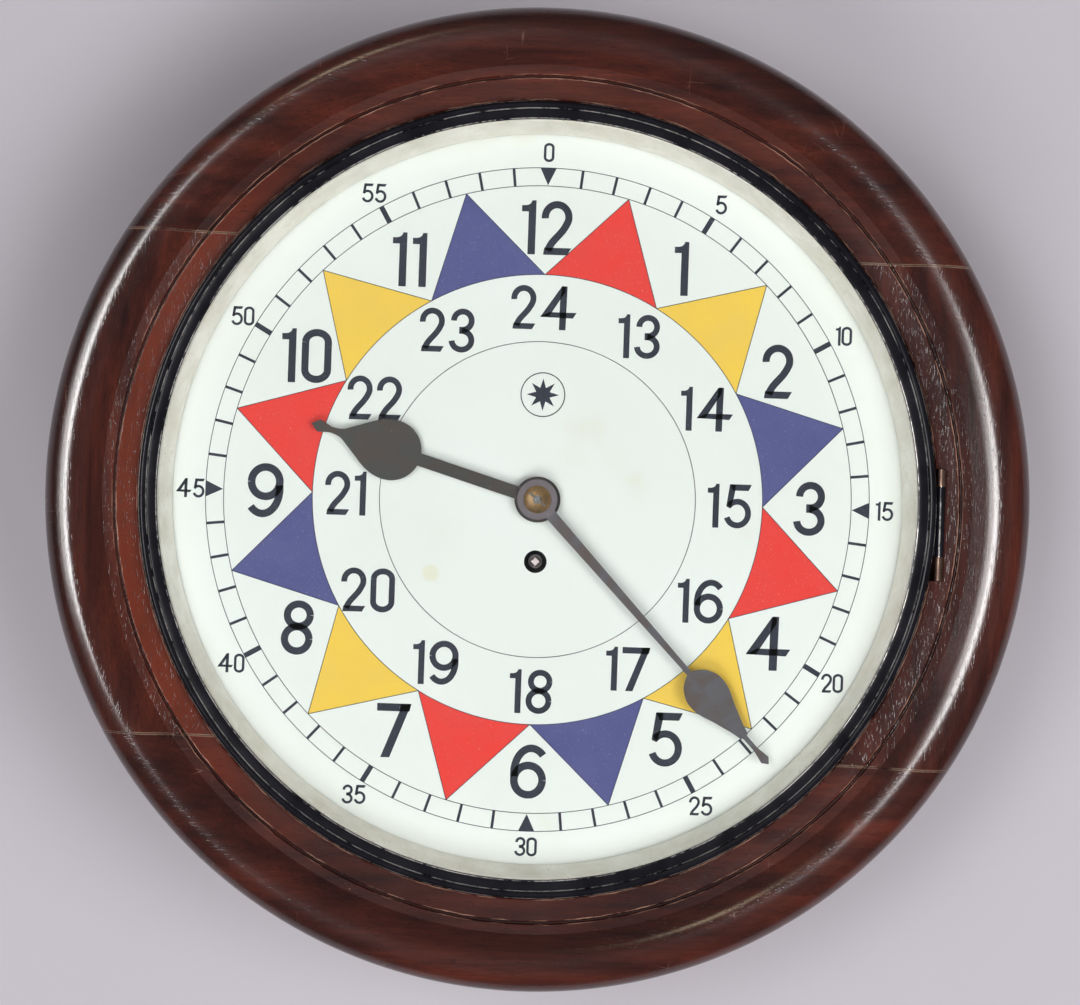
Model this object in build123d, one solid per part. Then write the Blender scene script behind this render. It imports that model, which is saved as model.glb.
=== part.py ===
from build123d import *
import math
import os

# Round-dial wall clock: a turned wooden surround with a hinged glazed bezel, a painted dial with
# two hands, and a box behind it that holds a spring movement with fusee and short pendulum.
# Lengths are in millimetres. The frame has its origin on the wall, behind the hands' axis:
# X runs to the viewer's right, Z runs up and Y runs into the wall, so that the dial faces -Y.
# A depth is the distance of a point from the wall, so its Y is minus that depth.

# Clearances and shared small sizes
fit = 0.02
run_gap = 0.05
body_gap = 0.3
overrun = 2.0

# Case: depths from the wall forwards
back_board_t = 8.0
box_d = 92.0
base_t = 12.0
seat_rise = 4.0
band_rise = 9.5

# Dial, bezel and surround: radii from the dial outwards
dial_r = 177.8
dial_t = 1.2
dial_gap = 0.6
bezel_lap = 6.6
bezel_gap = 0.8
band_w = 10.4
band_crown = 0.5
band_round = 1.0
quirk_w = 4.4
quirk_drop = 2.2
moulding_w = 28.6
nose_r = 12.6
crest_rise = 7.0
hollow_share = 0.35
back_undercut = 2.6
opening_gap = 15.57
joint_half = 116.5
joint_lean = 0.8

# Box
box_half_w = 140.0
board_t = 10.0
door_t = 6.0
door_gap = 0.8
side_door_half_h = 85.0
door_rail = 10.0
floor_door_half_w = 55.0
lug_w = 18.0
lug_h = 20.0
lug_l = 28.0
lug_in = 11.0
lug_top_gap = 2.5
lug_floor_gap = 2.5
peg_r = 5.0
peg_head_r = 7.5
peg_head_l = 7.0
peg_tip = 2.0

# Small door hinges and turn catches
butt_l = 12.0
butt_leaf_w = 9.0
butt_leaf_t = 1.2
butt_knuckle_r = 2.0
butt_pin_r = 0.8
butt_inset = 8.0
catch_inset = 9.0
catch_shaft_r = 2.0
catch_knob_r = 7.0
catch_knob_t = 2.0
catch_grip_l = 12.0
catch_grip_w = 3.0
catch_grip_t = 5.0
catch_tongue_l = 14.0
catch_tongue_w = 6.0
catch_tongue_t = 1.8
catch_curve_gap = 1.1

# Wall fixings
plate_w = 44.0
plate_h = 50.0
plate_steel_t = 2.0
plate_z = 115.0
hang_r = 4.5
hang_clear_r = 9.0
steady_r = 2.2
steady_in = 50.0
steady_z = -100.0

# Screws
case_head_r = 3.6
case_head_t = 2.0
case_shank_r = 1.9
case_shank_l = 22.0
small_head_r = 1.9
small_head_t = 1.1
small_shank_r = 1.0
small_shank_l = 7.0
slot_w_share = 0.28
slot_d_share = 0.5

# Bezel, glass and sight ring
lip_w = 8.8
bezel_wall = 2.4
bead_w = 3.9
bead_rise = 2.8
bezel_d = 13.9
slope_rise = 1.0
lip_t = 0.7
groove = 0.35
glass_t = 2.0
glass_lap = 4.5
sight_t = 0.8
sight_flange_t = 1.0
sight_mouth_in = 0.6
sight_w = 4.8
sight_gap = 1.1

# Bezel hinge and catch
hinge_drop = 4.0
hinge_out = 2.3
hinge_d = 11.0
knuckle_r = 1.9
hinge_pin_r = 0.9
case_knuckle_top = 8.0
case_knuckle_low = 11.0
bezel_knuckle = 32.0
leaf_t = 1.2
leaf_d = 10.0
hinge_screw_in = 3.2
spring_catch_w = 12.0
spring_catch_t = 1.2
spring_catch_l = 18.0
catch_slot_gap = 1.3

# Hands, as clock degrees from twelve
hour_angle = 286.8
minute_angle = 136.9
hand_t = 0.8
hour_hand_l = 111.0
hour_hub_r = 10.7
hour_arm_half = 3.0
hour_pod_at = 71.8
hour_pod_r = 14.1
hour_neck_at = 101.5
hour_neck_half = 1.4
hour_head_half = 2.9
hour_head_l = 3.7
hour_taper_shares = [(0.86, 0.29), (0.56, 0.52), (0.25, 0.74)]
minute_tip_gap = 7.0
minute_hub_r = 9.4
minute_arm_half = 2.75
minute_arm_end_half = 1.3
minute_pod_at = 119.0
minute_pod_r = 9.9
minute_pod_back = 11.7
minute_neck_at = 154.0
minute_neck_half = 1.08
minute_head_half = 2.25
minute_head_l = 2.7
minute_back_shares = [(0.32, 0.93), (0.62, 0.75), (0.83, 0.5), (0.96, 0.25)]
minute_taper_shares = [(0.92, 0.17), (0.7, 0.33), (0.49, 0.5), (0.305, 0.66), (0.185, 0.78)]

# Movement plates
plate_t = 2.5
pillar_l = 42.0
pillar_r = 4.0
pillar_waist_r = 2.8
pillar_ring_r = 5.2
pillar_ring_l = 3.0
tenon_r = 2.5
tenon_l = 6.0
plates_left = 80.0
plates_right = 46.0
plates_top = 64.0
plates_low = 79.0
plates_round = 4.0
pillar_inset = 7.5
dial_foot_l = 11.0
dial_foot_r = 3.0
dial_foot_tenon_r = 1.8
dial_foot_tenon_l = 5.6
dial_foot_inset = 24.0
pin_r = 0.7
pin_l = 9.0
pin_taper_share = 0.8

# Train: places and tooth counts
winding_drop = 29.0
barrel_dist = 52.0
barrel_lean = 20.0
escape_rise = 32.0
minute_rise = 18.0
centre_module = 0.5
third_module = 0.45
great_teeth = 96
centre_leaves = 8
centre_teeth = 84
third_leaves = 7
third_teeth = 77
escape_leaves = 7
escape_teeth = 30
cannon_teeth = 36
minute_teeth = 36
minute_leaves = 6
hour_teeth = 72
wheel_tooth_shares = (1.38, 1.2, 1.55)
pinion_leaf_shares = (1.05, 0.75, 1.75)
tip_shoulder_shares = (0.5, 0.74)

# Arbors and wheels
pivot_r = 0.8
arbor_r = 1.4
shake = 0.3
pivot_in = 0.4
centre_arbor_r = 2.0
centre_pivot_r = 1.2
tip_r = 1.2
wheel_t = 1.2
hub_r = 4.0
hub_t = 3.0
rim_w = 2.6
arm_w = 2.0
great_t = 2.5
great_off = 3.5
great_bore_r = 4.05
centre_pinion_off = 2.0
centre_pinion_l = 7.5
third_wheel_off = 11.5
escape_pinion_off = 9.5
escape_pinion_l = 5.5
escape_wheel_off = 27.5
escape_wheel_r = 15.0
escape_tooth_h = 2.6
escape_lead_share = 0.12
escape_back_share = 0.62
centre_wheel_off = 4.5
centre_wheel_t = 1.5
third_pinion_off = 2.5
third_pinion_l = 5.5

# Fusee, line and barrel
fusee_off = 1.0
fusee_flange_r = 22.5
fusee_flange_t = 1.2
fusee_big_r = 19.5
fusee_small_r = 11.0
fusee_cap_r = 13.2
fusee_cap_t = 1.2
fusee_front_gap = 2.5
fusee_arbor_r = 4.0
fusee_front_r = 3.2
fusee_rear_r = 2.0
square_w = 3.7
square_in = 0.8
barrel_r = 23.0
barrel_wall = 1.5
barrel_core_r = 6.0
barrel_arbor_r = 3.0
setting_square_w = 4.2
spring_start_gap = 1.0
spring_t = 0.5
spring_pitch = 1.3
spring_turns = 10
spring_edge_gap = 0.5
line_r = 0.6
line_pitch = 1.75
line_half_turns = 19
line_end_gap = 5.6
ratchet_r = 8.5
ratchet_teeth = 16
ratchet_tooth_h = 1.4
ratchet_t = 1.8
click_l = 12.0
click_w = 2.8
click_turn = 28.0

# Pallets, crutch and back cock
pallet_gap = 0.9
pallet_rise_share = 1.4142
pallet_t = 4.2
pallet_boss_r = 3.5
pallet_shares = [(0.17, 0.2), (0.83, -0.55), (0.93, -0.86), (0.66, -0.8)]
pallet_arbor_r = 1.5
pallet_hole_r = 4.0
crutch_off = 2.0
crutch_t = 3.0
crutch_l = 70.0
crutch_w = 2.2
fork_half = 6.0
fork_h = 3.0
fork_gap = 0.15
fork_past = 4.0
cock_gap = 7.0
cock_t = 3.0
cock_half_w = 22.0
cock_foot_w = 7.0
cock_low = 6.5
cock_high = 8.0
chop_half = 5.0
chop_low = 1.3
chop_high = 4.8
strip_t = 0.3
strip_w = 7.0
strip_slot = 1.2
strip_low = 7.0
strip_pin_r = 0.8
strip_pin_l = 9.0
hook_h = 6.0
hook_half = 3.0

# Pendulum
pendulum_l = 205.0
rod_off = 15.0
rod_r = 1.6
bob_r = 31.0
bob_t = 20.0
bob_edge_t = 5.0
nut_r = 6.0
nut_h = 6.0
nut_grips = 20
nut_grip_r = 0.6
rod_end_l = 8.0
bottom_gap = 5.0

# Motion work behind the dial
motion_off = 1.5
minute_gap = 0.5
bar_gap = 0.9
bar_t = 1.2
bar_half_h = 5.0
bar_reach = 21.5
bar_foot_half = 3.0
hour_wheel_gap = 0.7
cannon_pipe_r = 3.0
bridge_pipe_r = 4.0
hour_pipe_r = 5.0
bridge_pipe_l = 11.4
minute_arbor_r = 1.0
minute_pivot_r = 0.55
minute_cock_x = 17.0
minute_cock_z = 33.0
minute_cock_gap = 1.6
minute_cock_t = 1.2
minute_cock_r = 3.5
dial_hole_r = 6.5
winding_hole_r = 5.3
hour_hand_off = 3.8
hand_gap = 2.8
pipe_past = 0.4
collet_r = 6.4
collet_t = 2.6
collet_pin_r = 0.5
collet_pin_l = 9.4
collet_pin_turn = 52.0
tip_past = 1.3

# Depths worked out along the case
surround_back = back_board_t + box_d
side_door_back = back_board_t + door_rail
side_door_front = surround_back - door_rail
dial_back = surround_back + base_t
dial_face = dial_back + dial_t
bezel_seat = dial_back + seat_rise
band_face = bezel_seat + band_rise

# Radii worked out from the dial outwards
recess_r = dial_r + dial_gap
bezel_r = dial_r + bezel_lap
ledge_r = bezel_r + bezel_gap
opening_r = math.hypot(plates_left, plates_low) + opening_gap
band_r = ledge_r + band_w
quirk_r = band_r + quirk_w
surround_r = quirk_r + moulding_w
lip_r = bezel_r - lip_w
sight_r = lip_r - sight_mouth_in - sight_w

# Depths worked out through the movement
front_plate_face = dial_back - dial_foot_l
front_plate_back = front_plate_face - plate_t
back_plate_face = front_plate_back - pillar_l
back_plate_back = back_plate_face - plate_t
cock_back = back_plate_back - cock_gap - cock_t
rod_depth = back_plate_back - rod_off
fusee_back = back_plate_face + great_off + great_t + fusee_off
centre_wheel_face = front_plate_back - centre_wheel_off
fusee_face = centre_wheel_face - centre_wheel_t - fusee_front_gap
motion_back = front_plate_face + motion_off
bar_back = motion_back + wheel_t + bar_gap
bar_face = bar_back + bar_t
hour_wheel_back = bar_face + hour_wheel_gap
hour_wheel_face = hour_wheel_back + wheel_t
cock_bar_back = hour_wheel_face + minute_cock_gap
hour_hand_back = dial_face + hour_hand_off
minute_hand_back = hour_hand_back + hand_t + hand_gap
minute_hand_face = minute_hand_back + hand_t
collet_face = minute_hand_face + collet_t
bezel_face = bezel_seat + body_gap + bezel_d
hinge_depth = bezel_seat + hinge_d
hinge_x = bezel_r + hinge_out

# Places of the arbors in the front view
barrel_x = -barrel_dist * math.cos(math.radians(barrel_lean))
barrel_z = -winding_drop - barrel_dist * math.sin(math.radians(barrel_lean))
third_reach = centre_module * (centre_teeth + third_leaves) / 2
escape_reach = third_module * (third_teeth + escape_leaves) / 2
third_z = (third_reach ** 2 - escape_reach ** 2 + escape_rise ** 2) / (2 * escape_rise)
third_x = math.sqrt(third_reach ** 2 - third_z ** 2)
pallet_rise = escape_rise + escape_wheel_r * pallet_rise_share
bob_z = pallet_rise - pendulum_l
nut_top = bob_z - bob_r - body_gap
rod_end_z = nut_top - nut_h - rod_end_l
fork_z = pallet_rise - crutch_l
foot_x = [-plates_left + pillar_inset, plates_right - pillar_inset]
foot_z = [-plates_low + pillar_inset, plates_top - pillar_inset]
lug_z = joint_half + lug_in
lug_x = box_half_w - board_t - lug_w / 2
lug_corner_r = math.hypot(lug_x + lug_w / 2, lug_z + lug_h / 2)
floor_r = max(bottom_gap - rod_end_z, lug_corner_r + lug_floor_gap) + board_t
side_low = -math.sqrt(floor_r ** 2 - box_half_w ** 2)
box_top = lug_z + lug_h / 2 + lug_top_gap + board_t
peg_depth = surround_back - lug_l / 2
steady_half = box_half_w - steady_in
dial_screw_r = (sight_r + dial_r) / 2
door_middle = (side_door_back + side_door_front) / 2


def front(depth, x=0, z=0):
    """Drawing plane at a depth, seen from the front: its x is right, its y is up."""
    return Plane(origin=(x, -depth, z), x_dir=(1, 0, 0), z_dir=(0, -1, 0))


def rear(depth, x=0, z=0):
    """Drawing plane at a depth whose normal faces the wall."""
    return Plane(origin=(x, -depth, z), x_dir=(-1, 0, 0), z_dir=(0, 1, 0))


def slab(sketch, back, face):
    """Flat piece with a front-view outline, from one depth to another."""
    return extrude(front(back) * sketch, amount=face - back)


def disc(radius, back, face, x=0, z=0):
    """Round piece about a front-to-back axis."""
    return slab(Pos(x, z) * Circle(radius), back, face)


def turned(outline, x=0, z=0):
    """Turned piece about a front-to-back axis; the outline is (radius, depth) points."""
    plane = Plane(origin=(x, 0, z), x_dir=(1, 0, 0), z_dir=(0, 0, -1))
    profile = plane * make_face(Polyline(*outline, close=True))
    return revolve(profile, axis=Axis((x, 0, z), (0, -1, 0)))


def block(x_low, x_high, back, face, z_low, z_high):
    """Rectangular piece between two values on each axis."""
    middle = Pos((x_low + x_high) / 2, -(back + face) / 2, (z_low + z_high) / 2)
    return middle * Box(x_high - x_low, face - back, z_high - z_low)


def polar(radius, angle):
    """Front-view point at a radius and an angle in radians from the right, turning upwards."""
    return (radius * math.cos(angle), radius * math.sin(angle))


def screw(plane, head_radius, head_t, shank_radius, shank_l):
    """Cheese-headed screw whose head stands on the plane and whose shank goes below it."""
    head = Cylinder(head_radius, head_t, align=(Align.CENTER, Align.CENTER, Align.MIN))
    head = fillet(head.edges().sort_by(Axis.Z)[-1], head_t / 2)
    slot_size = (2 * head_radius, head_radius * slot_w_share, head_t * slot_d_share)
    slot = Pos(0, 0, head_t) * Box(*slot_size, align=(Align.CENTER, Align.CENTER, Align.MAX))
    shank = Cylinder(shank_radius, shank_l, align=(Align.CENTER, Align.CENTER, Align.MAX))
    return plane * (head - slot + shank)


def screw_hole(plane, shank_radius, shank_l):
    """Hole for a screw's shank, open at the plane."""
    hole = Cylinder(shank_radius + fit, shank_l + fit, align=(Align.CENTER, Align.CENTER, Align.MAX))
    return plane * (hole + Cylinder(shank_radius + fit, fit))


def case_screw(plane):
    """Larger wood screw that holds the case together."""
    return screw(plane, case_head_r, case_head_t, case_shank_r, case_shank_l)


def small_screw(plane, shank_l=small_shank_l):
    """Small screw of the dial, hinge and movement."""
    return screw(plane, small_head_r, small_head_t, small_shank_r, shank_l)


# Places of the screws, used by the screws and by the holes that they fill

def dial_screw_planes():
    """Four small screws that hold the dial plate to the surround, under the sight ring."""
    turns = [math.radians(45 + 90 * quarter) for quarter in range(4)]
    return [front(dial_face, *polar(dial_screw_r, turn)) for turn in turns]


def hinge_screw_planes():
    """Two screws that hold the bezel hinge's case leaf to the surround."""
    reach = bezel_knuckle / 2 + hinge_screw_in
    depth = bezel_seat + leaf_d / 2
    heights = [-hinge_drop + reach, -hinge_drop - reach]
    leaf_x = hinge_x + knuckle_r - leaf_t
    return [Plane(origin=(leaf_x, -depth, z), x_dir=(0, 1, 0), z_dir=(-1, 0, 0)) for z in heights]


def back_screw_planes():
    """Eight screws through the back board into the edges of the box boards."""
    side_x = box_half_w - board_t / 2
    top_z = box_top - board_t / 2
    low_r = floor_r - board_t / 2
    low_x = floor_door_half_w + board_t
    low_z = -math.sqrt(low_r ** 2 - low_x ** 2)
    side_z = side_door_half_h + board_t
    places = [(side_x, side_z), (side_x, -side_z)]
    places += [(box_half_w / 2, top_z), (low_x, low_z)]
    planes = [rear(case_head_t + run_gap, x, z) for x, z in places]
    return planes + [rear(case_head_t + run_gap, -x, z) for x, z in places]


def plate_screw_planes():
    """Four screws that hold the hanging plate to the back board."""
    x = plate_w / 2 - case_head_r - run_gap
    z = plate_h / 2 - case_head_r - run_gap
    depth = back_board_t + plate_steel_t
    return [front(depth, sx * x, plate_z + sz * z) for sx in (-1, 1) for sz in (-1, 1)]


def cock_screw_planes():
    """Two screws through the back cock's feet into the back plate."""
    x = cock_half_w - cock_foot_w / 2
    return [rear(cock_back, side * x, pallet_rise) for side in (-1, 1)]


def bridge_screw_planes():
    """Two screws through the motion bridge's feet into the front plate."""
    return [front(bar_face, side * bar_reach, 0) for side in (-1, 1)]


def minute_cock_screw_plane():
    """Screw through the minute cock's foot into the front plate."""
    return front(cock_bar_back + minute_cock_t, minute_cock_x, minute_cock_z)


def click_pivot():
    """Front-view place of the set-up click's screw, beside the ratchet."""
    reach = ratchet_r + click_l
    return (barrel_x + reach * math.cos(math.radians(click_turn)),
            barrel_z + reach * math.sin(math.radians(click_turn)))


def click_screw_plane():
    """Screw on which the set-up click turns."""
    return front(front_plate_face + shake + ratchet_t, *click_pivot())


# Surround

def surround_ring():
    """The whole turned ring: dial recess, bezel seat, flat inner band, hollow and rounded nose."""
    crest = (surround_r - nose_r, band_face + crest_rise)
    back_edge = (surround_r - back_undercut, surround_back)
    nose_middle = (crest[0], crest[1] - nose_r)
    away = (back_edge[0] - nose_middle[0], back_edge[1] - nose_middle[1])
    side_turn = math.atan2(away[1], away[0]) + math.acos(nose_r / math.hypot(*away))
    side_top = (nose_middle[0] + nose_r * math.cos(side_turn), nose_middle[1] + nose_r * math.sin(side_turn))
    foot = (quirk_r, band_face - quirk_drop)
    turn = (foot[0] + (crest[0] - foot[0]) * hollow_share,
            foot[1] + (crest[1] - foot[1]) * hollow_share)
    brow = TangentArc(crest, turn, tangent=(-1, 0))
    band_edge = (band_r, band_face + band_crown - band_round)
    band_top = (band_r - band_round, band_face + band_crown)
    edges = [
        Polyline((opening_r, surround_back), back_edge, side_top),
        TangentArc(crest, side_top, tangent=(1, 0)),
        brow,
        TangentArc(turn, foot, tangent=brow % 1),
        Polyline(foot, (band_r, foot[1]), band_edge, band_top, (ledge_r, band_face),
                 (ledge_r, bezel_seat), (recess_r, bezel_seat), (recess_r, dial_back),
                 (opening_r, dial_back), (opening_r, surround_back)),
    ]
    plane = Plane(origin=(0, 0, 0), x_dir=(1, 0, 0), z_dir=(0, 0, -1))
    ring = revolve(plane * make_face(edges), axis=Axis((0, 0, 0), (0, -1, 0)))
    for screw_plane in dial_screw_planes():
        ring -= screw_hole(screw_plane, small_shank_r, small_shank_l)
    return ring


def segment_field(side_x, side_z):
    """Block that cuts one segment out of the ring; its joint faces lean a little clockwise."""
    wide = 2 * (surround_r + overrun)
    reach = surround_r + overrun
    if side_z:
        middle = Pos(0, side_z * (joint_half + reach) / 2)
        outline = middle * Rectangle(wide, reach - joint_half)
    else:
        outline = Pos(side_x * reach / 2, 0) * Rectangle(reach, 2 * joint_half)
    return slab(Rot(0, 0, -joint_lean) * outline, surround_back - overrun, band_face + moulding_w)


def hinge_recess():
    """Slot in the right segment that takes the bezel's hinge."""
    half = (case_knuckle_top + bezel_knuckle + case_knuckle_low) / 2 + body_gap * 2
    middle = -hinge_drop - (case_knuckle_low - case_knuckle_top) / 2
    wall_x = hinge_x + knuckle_r
    return block(recess_r, wall_x, bezel_seat, bezel_face, middle - half, middle + half)


def catch_slot():
    """Slot in the left segment that the bezel's spring catch enters."""
    inner = bezel_r - bezel_wall - spring_catch_t - catch_slot_gap
    outer = bezel_r - bezel_wall + catch_slot_gap
    half = spring_catch_w / 2 + catch_slot_gap
    bottom = spring_catch_bottom() - catch_slot_gap
    return block(-outer, -inner, bottom, bezel_face, -half, half)


def spring_catch_bottom():
    """Depth that the bezel's spring catch reaches down to when the bezel is shut."""
    return bezel_face - glass_t - 2 * sight_flange_t - spring_catch_l


def surround_segment(ring, side_x, side_z):
    """One of the four wooden segments that the ring is glued up from."""
    piece = ring & segment_field(side_x, side_z)
    if side_x > 0:
        piece -= hinge_recess()
        for plane in hinge_screw_planes():
            piece -= screw_hole(plane, small_shank_r, small_shank_l)
    if side_x < 0:
        piece -= catch_slot()
    return piece


def surround_lugs():
    """Four blocks glued to the back of the surround, inside the box."""
    lugs = []
    for side_x in (-1, 1):
        for side_z in (-1, 1):
            x = side_x * lug_x
            z = side_z * lug_z
            lug = block(x - lug_w / 2, x + lug_w / 2, surround_back - lug_l, surround_back,
                        z - lug_h / 2, z + lug_h / 2)
            lugs.append(lug - peg_hole(side_x, z))
    return Compound(lugs)


def peg_hole(side_x, z):
    """Hole for a fixing peg through a box side and its lug."""
    reach = lug_w + board_t + overrun
    plane = Plane(origin=(side_x * box_half_w, -peg_depth, z), z_dir=(-side_x, 0, 0))
    return plane * Cylinder(peg_r + fit, reach, align=(Align.CENTER, Align.CENTER, Align.MIN))


def fixing_pegs():
    """Four turned wooden pegs that hold the box to the lugs."""
    pegs = []
    length = board_t + lug_w - peg_tip
    outline = [(0, -peg_head_l), (peg_head_r - peg_tip, -peg_head_l), (peg_head_r, -peg_head_l / 2),
               (peg_head_r, 0), (peg_r, 0), (peg_r, length - peg_tip), (peg_r - peg_tip, length),
               (0, length)]
    for side_x in (-1, 1):
        for side_z in (-1, 1):
            plane = Plane(origin=(side_x * box_half_w, -peg_depth, side_z * lug_z),
                          x_dir=(0, 0, 1), z_dir=(0, -side_x, 0))
            sign = 1 if (plane.y_dir.X * side_x) < 0 else -1
            profile = make_face(Polyline(*[(radius, sign * run) for radius, run in outline], close=True))
            axis = Axis(plane.origin, plane.y_dir)
            pegs.append(revolve(plane * profile, axis=axis))
    return Compound(pegs)


# Box

def box_side(side_x):
    """Side board of the box, from the curved bottom up to the top board."""
    inner = side_x * (box_half_w - board_t)
    outer = side_x * box_half_w
    board = block(min(inner, outer), max(inner, outer), back_board_t, surround_back,
                  side_low, box_top - board_t)
    for side_z in (-1, 1):
        board -= peg_hole(side_x, side_z * lug_z)
    return board - back_screw_holes()


def box_right_side():
    """Right side board with its doorway."""
    doorway = block(box_half_w - board_t - overrun, box_half_w + overrun,
                    side_door_back, side_door_front, -side_door_half_h, side_door_half_h)
    return box_side(1) - doorway


def back_screw_holes():
    """Holes for the back board's screws, heads let in from the wall side."""
    holes = []
    for plane in back_screw_planes():
        head = Cylinder(case_head_r + run_gap, case_head_t + run_gap + overrun,
                        align=(Align.CENTER, Align.CENTER, Align.MIN))
        holes.append(plane * head)
        holes.append(screw_hole(plane, case_shank_r, case_shank_l))
    return holes


def box_top_board():
    """Top board of the box."""
    board = block(-box_half_w, box_half_w, back_board_t, surround_back, box_top - board_t, box_top)
    return board - back_screw_holes()


def floor_sector(inner_r, outer_r, half_w, back, face):
    """Stretch of the curved bottom, between two radii about the hands' axis."""
    low = Pos(0, (side_low - outer_r) / 2) * Rectangle(2 * half_w, outer_r + side_low)
    return slab((Circle(outer_r) - Circle(inner_r)) & low, back, face)


def box_bottom_board():
    """Curved bottom board with the pendulum doorway."""
    board = floor_sector(floor_r - board_t, floor_r, box_half_w, back_board_t, surround_back)
    doorway = block(-floor_door_half_w, floor_door_half_w, side_door_back, side_door_front,
                    -floor_r - overrun, side_low - board_t)
    return board - doorway - back_screw_holes()


def back_board():
    """Back board with hanging hole and two steadying screw holes."""
    upper = Pos(0, box_top / 2) * Rectangle(2 * box_half_w, box_top)
    lower = Circle(floor_r) & (Pos(0, -floor_r / 2) * Rectangle(2 * box_half_w, floor_r))
    board = slab(upper + lower, 0, back_board_t)
    board -= disc(hang_clear_r, -overrun, back_board_t + overrun, 0, plate_z)
    for side in (-1, 1):
        board -= disc(steady_r, -overrun, back_board_t + overrun, side * steady_half, steady_z)
    for plane in plate_screw_planes():
        board -= screw_hole(plane, case_shank_r, small_shank_l)
    return board - back_screw_holes()


def hanging_plate():
    """Steel plate over the hole in the back board; the clock hangs by its hole."""
    outline = Pos(0, plate_z) * (RectangleRounded(plate_w, plate_h, case_head_r) - Circle(hang_r))
    plate = slab(outline, back_board_t, back_board_t + plate_steel_t)
    for plane in plate_screw_planes():
        plate -= screw_hole(plane, case_shank_r, small_shank_l)
    return plate


def case_screws():
    """Screws of the back board and of the hanging plate."""
    screws = [case_screw(plane) for plane in back_screw_planes()]
    for plane in plate_screw_planes():
        screws.append(screw(plane, case_head_r, case_head_t, case_shank_r, small_shank_l))
    return Compound(screws)


# Small doors of the box

def butt(length, own):
    """Half of a small butt hinge along X, leaf towards -Y if own is set, else towards +Y."""
    side = -1 if own else 1
    start = -length / 2 if own else body_gap / 2
    end = -body_gap / 2 if own else length / 2
    middle = (start + end) / 2
    root = butt_leaf_t / 2
    width = butt_leaf_w - root
    leaf = Pos(0, side * (root + width / 2), butt_leaf_t / 2) * Box(length, width, butt_leaf_t)
    clear = butt_knuckle_r + body_gap - root
    near = Pos(-middle, side * (root + clear / 2), butt_leaf_t / 2)
    leaf -= near * Box(end - start + body_gap, clear, butt_leaf_t)
    knuckle = Rot(0, 90, 0) * Cylinder(butt_knuckle_r, end - start)
    half = leaf + Pos(middle, 0, butt_knuckle_r) * knuckle
    if own:
        bore = Rot(0, 90, 0) * Cylinder(butt_pin_r + run_gap, length)
        return half - Pos(0, 0, butt_knuckle_r) * bore
    return half + Pos(0, 0, butt_knuckle_r) * (Rot(0, 90, 0) * Cylinder(butt_pin_r, length))


def side_butt_planes():
    """Places of the side door's two hinges, on the outside of the right board."""
    reach = side_door_half_h - butt_inset - butt_l / 2
    return [Plane(origin=(box_half_w, -side_door_back, z), x_dir=(0, 0, -1), z_dir=(1, 0, 0))
            for z in (-reach, reach)]


def floor_butt_angle():
    """Angle of the pendulum door's hinge line from straight down."""
    return math.asin(floor_door_half_w / floor_r)


def floor_butt_planes():
    """Places of the pendulum door's two hinges, under the curved bottom."""
    angle = floor_butt_angle()
    away = (-math.sin(angle), 0, -math.cos(angle))
    depths = (side_door_back + butt_inset, side_door_front - butt_inset)
    return [Plane(origin=(floor_r * away[0], -depth, floor_r * away[2]), x_dir=(0, -1, 0), z_dir=away)
            for depth in depths]


def door_hinges():
    """Case halves of the small doors' hinges, each with its pin."""
    return Compound([plane * butt(butt_l, False) for plane in side_butt_planes() + floor_butt_planes()])


def catch_plane_side():
    """Place of the side door's turn catch, on the door's outer face."""
    return Plane(origin=(box_half_w, -(side_door_front - catch_inset), 0), x_dir=(0, 0, 1), z_dir=(1, 0, 0))


def catch_plane_floor():
    """Place of the pendulum door's turn catch, under the door."""
    angle = math.asin((floor_door_half_w - catch_inset) / floor_r)
    away = (math.sin(angle), 0, -math.cos(angle))
    return Plane(origin=(floor_r * away[0], -door_middle, floor_r * away[2]), x_dir=(0, -1, 0), z_dir=away)


def turn_catch(plane, tongue_drop):
    """Brass turn catch: knob and grip outside, shaft through the door, tongue inside; shown turned free."""
    base = (Align.CENTER, Align.CENTER, Align.MIN)
    knob = Pos(0, 0, body_gap) * Cylinder(catch_knob_r, catch_knob_t, align=base)
    grip_z = body_gap + catch_knob_t
    grip = Pos(0, 0, grip_z) * Box(catch_grip_l, catch_grip_w, catch_grip_t, align=base)
    grip = fillet(grip.edges().filter_by(Axis.Z), catch_grip_w / 3)
    low = tongue_drop + catch_tongue_t
    shaft = Pos(0, 0, -low) * Cylinder(catch_shaft_r, low + grip_z, align=base)
    tongue = Pos(catch_tongue_l / 2, 0, -low) * Box(catch_tongue_l, catch_tongue_w, catch_tongue_t, align=base)
    heel = Pos(0, 0, -low) * Cylinder(catch_tongue_w / 2, catch_tongue_t, align=base)
    return plane * (knob + grip + shaft + tongue + heel)


def side_door():
    """Side door, flush with the outside of the right board, with its hinge leaves."""
    panel = block(box_half_w - door_t, box_half_w, side_door_back + door_gap, side_door_front - door_gap,
                  -side_door_half_h + door_gap, side_door_half_h - door_gap)
    panel -= catch_plane_side() * Cylinder(catch_shaft_r + run_gap, 2 * door_t + overrun)
    return Compound([panel] + [plane * butt(butt_l, True) for plane in side_butt_planes()])


def side_door_catch():
    """Turn catch of the side door."""
    return turn_catch(catch_plane_side(), board_t + body_gap)


def pendulum_door():
    """Curved door in the bottom, for reaching the pendulum, with its hinge leaves."""
    panel = floor_sector(floor_r - door_t, floor_r, floor_door_half_w - door_gap,
                         side_door_back + door_gap, side_door_front - door_gap)
    panel -= catch_plane_floor() * Cylinder(catch_shaft_r + run_gap, 2 * door_t + overrun)
    return Compound([panel] + [plane * butt(butt_l, True) for plane in floor_butt_planes()])


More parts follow.
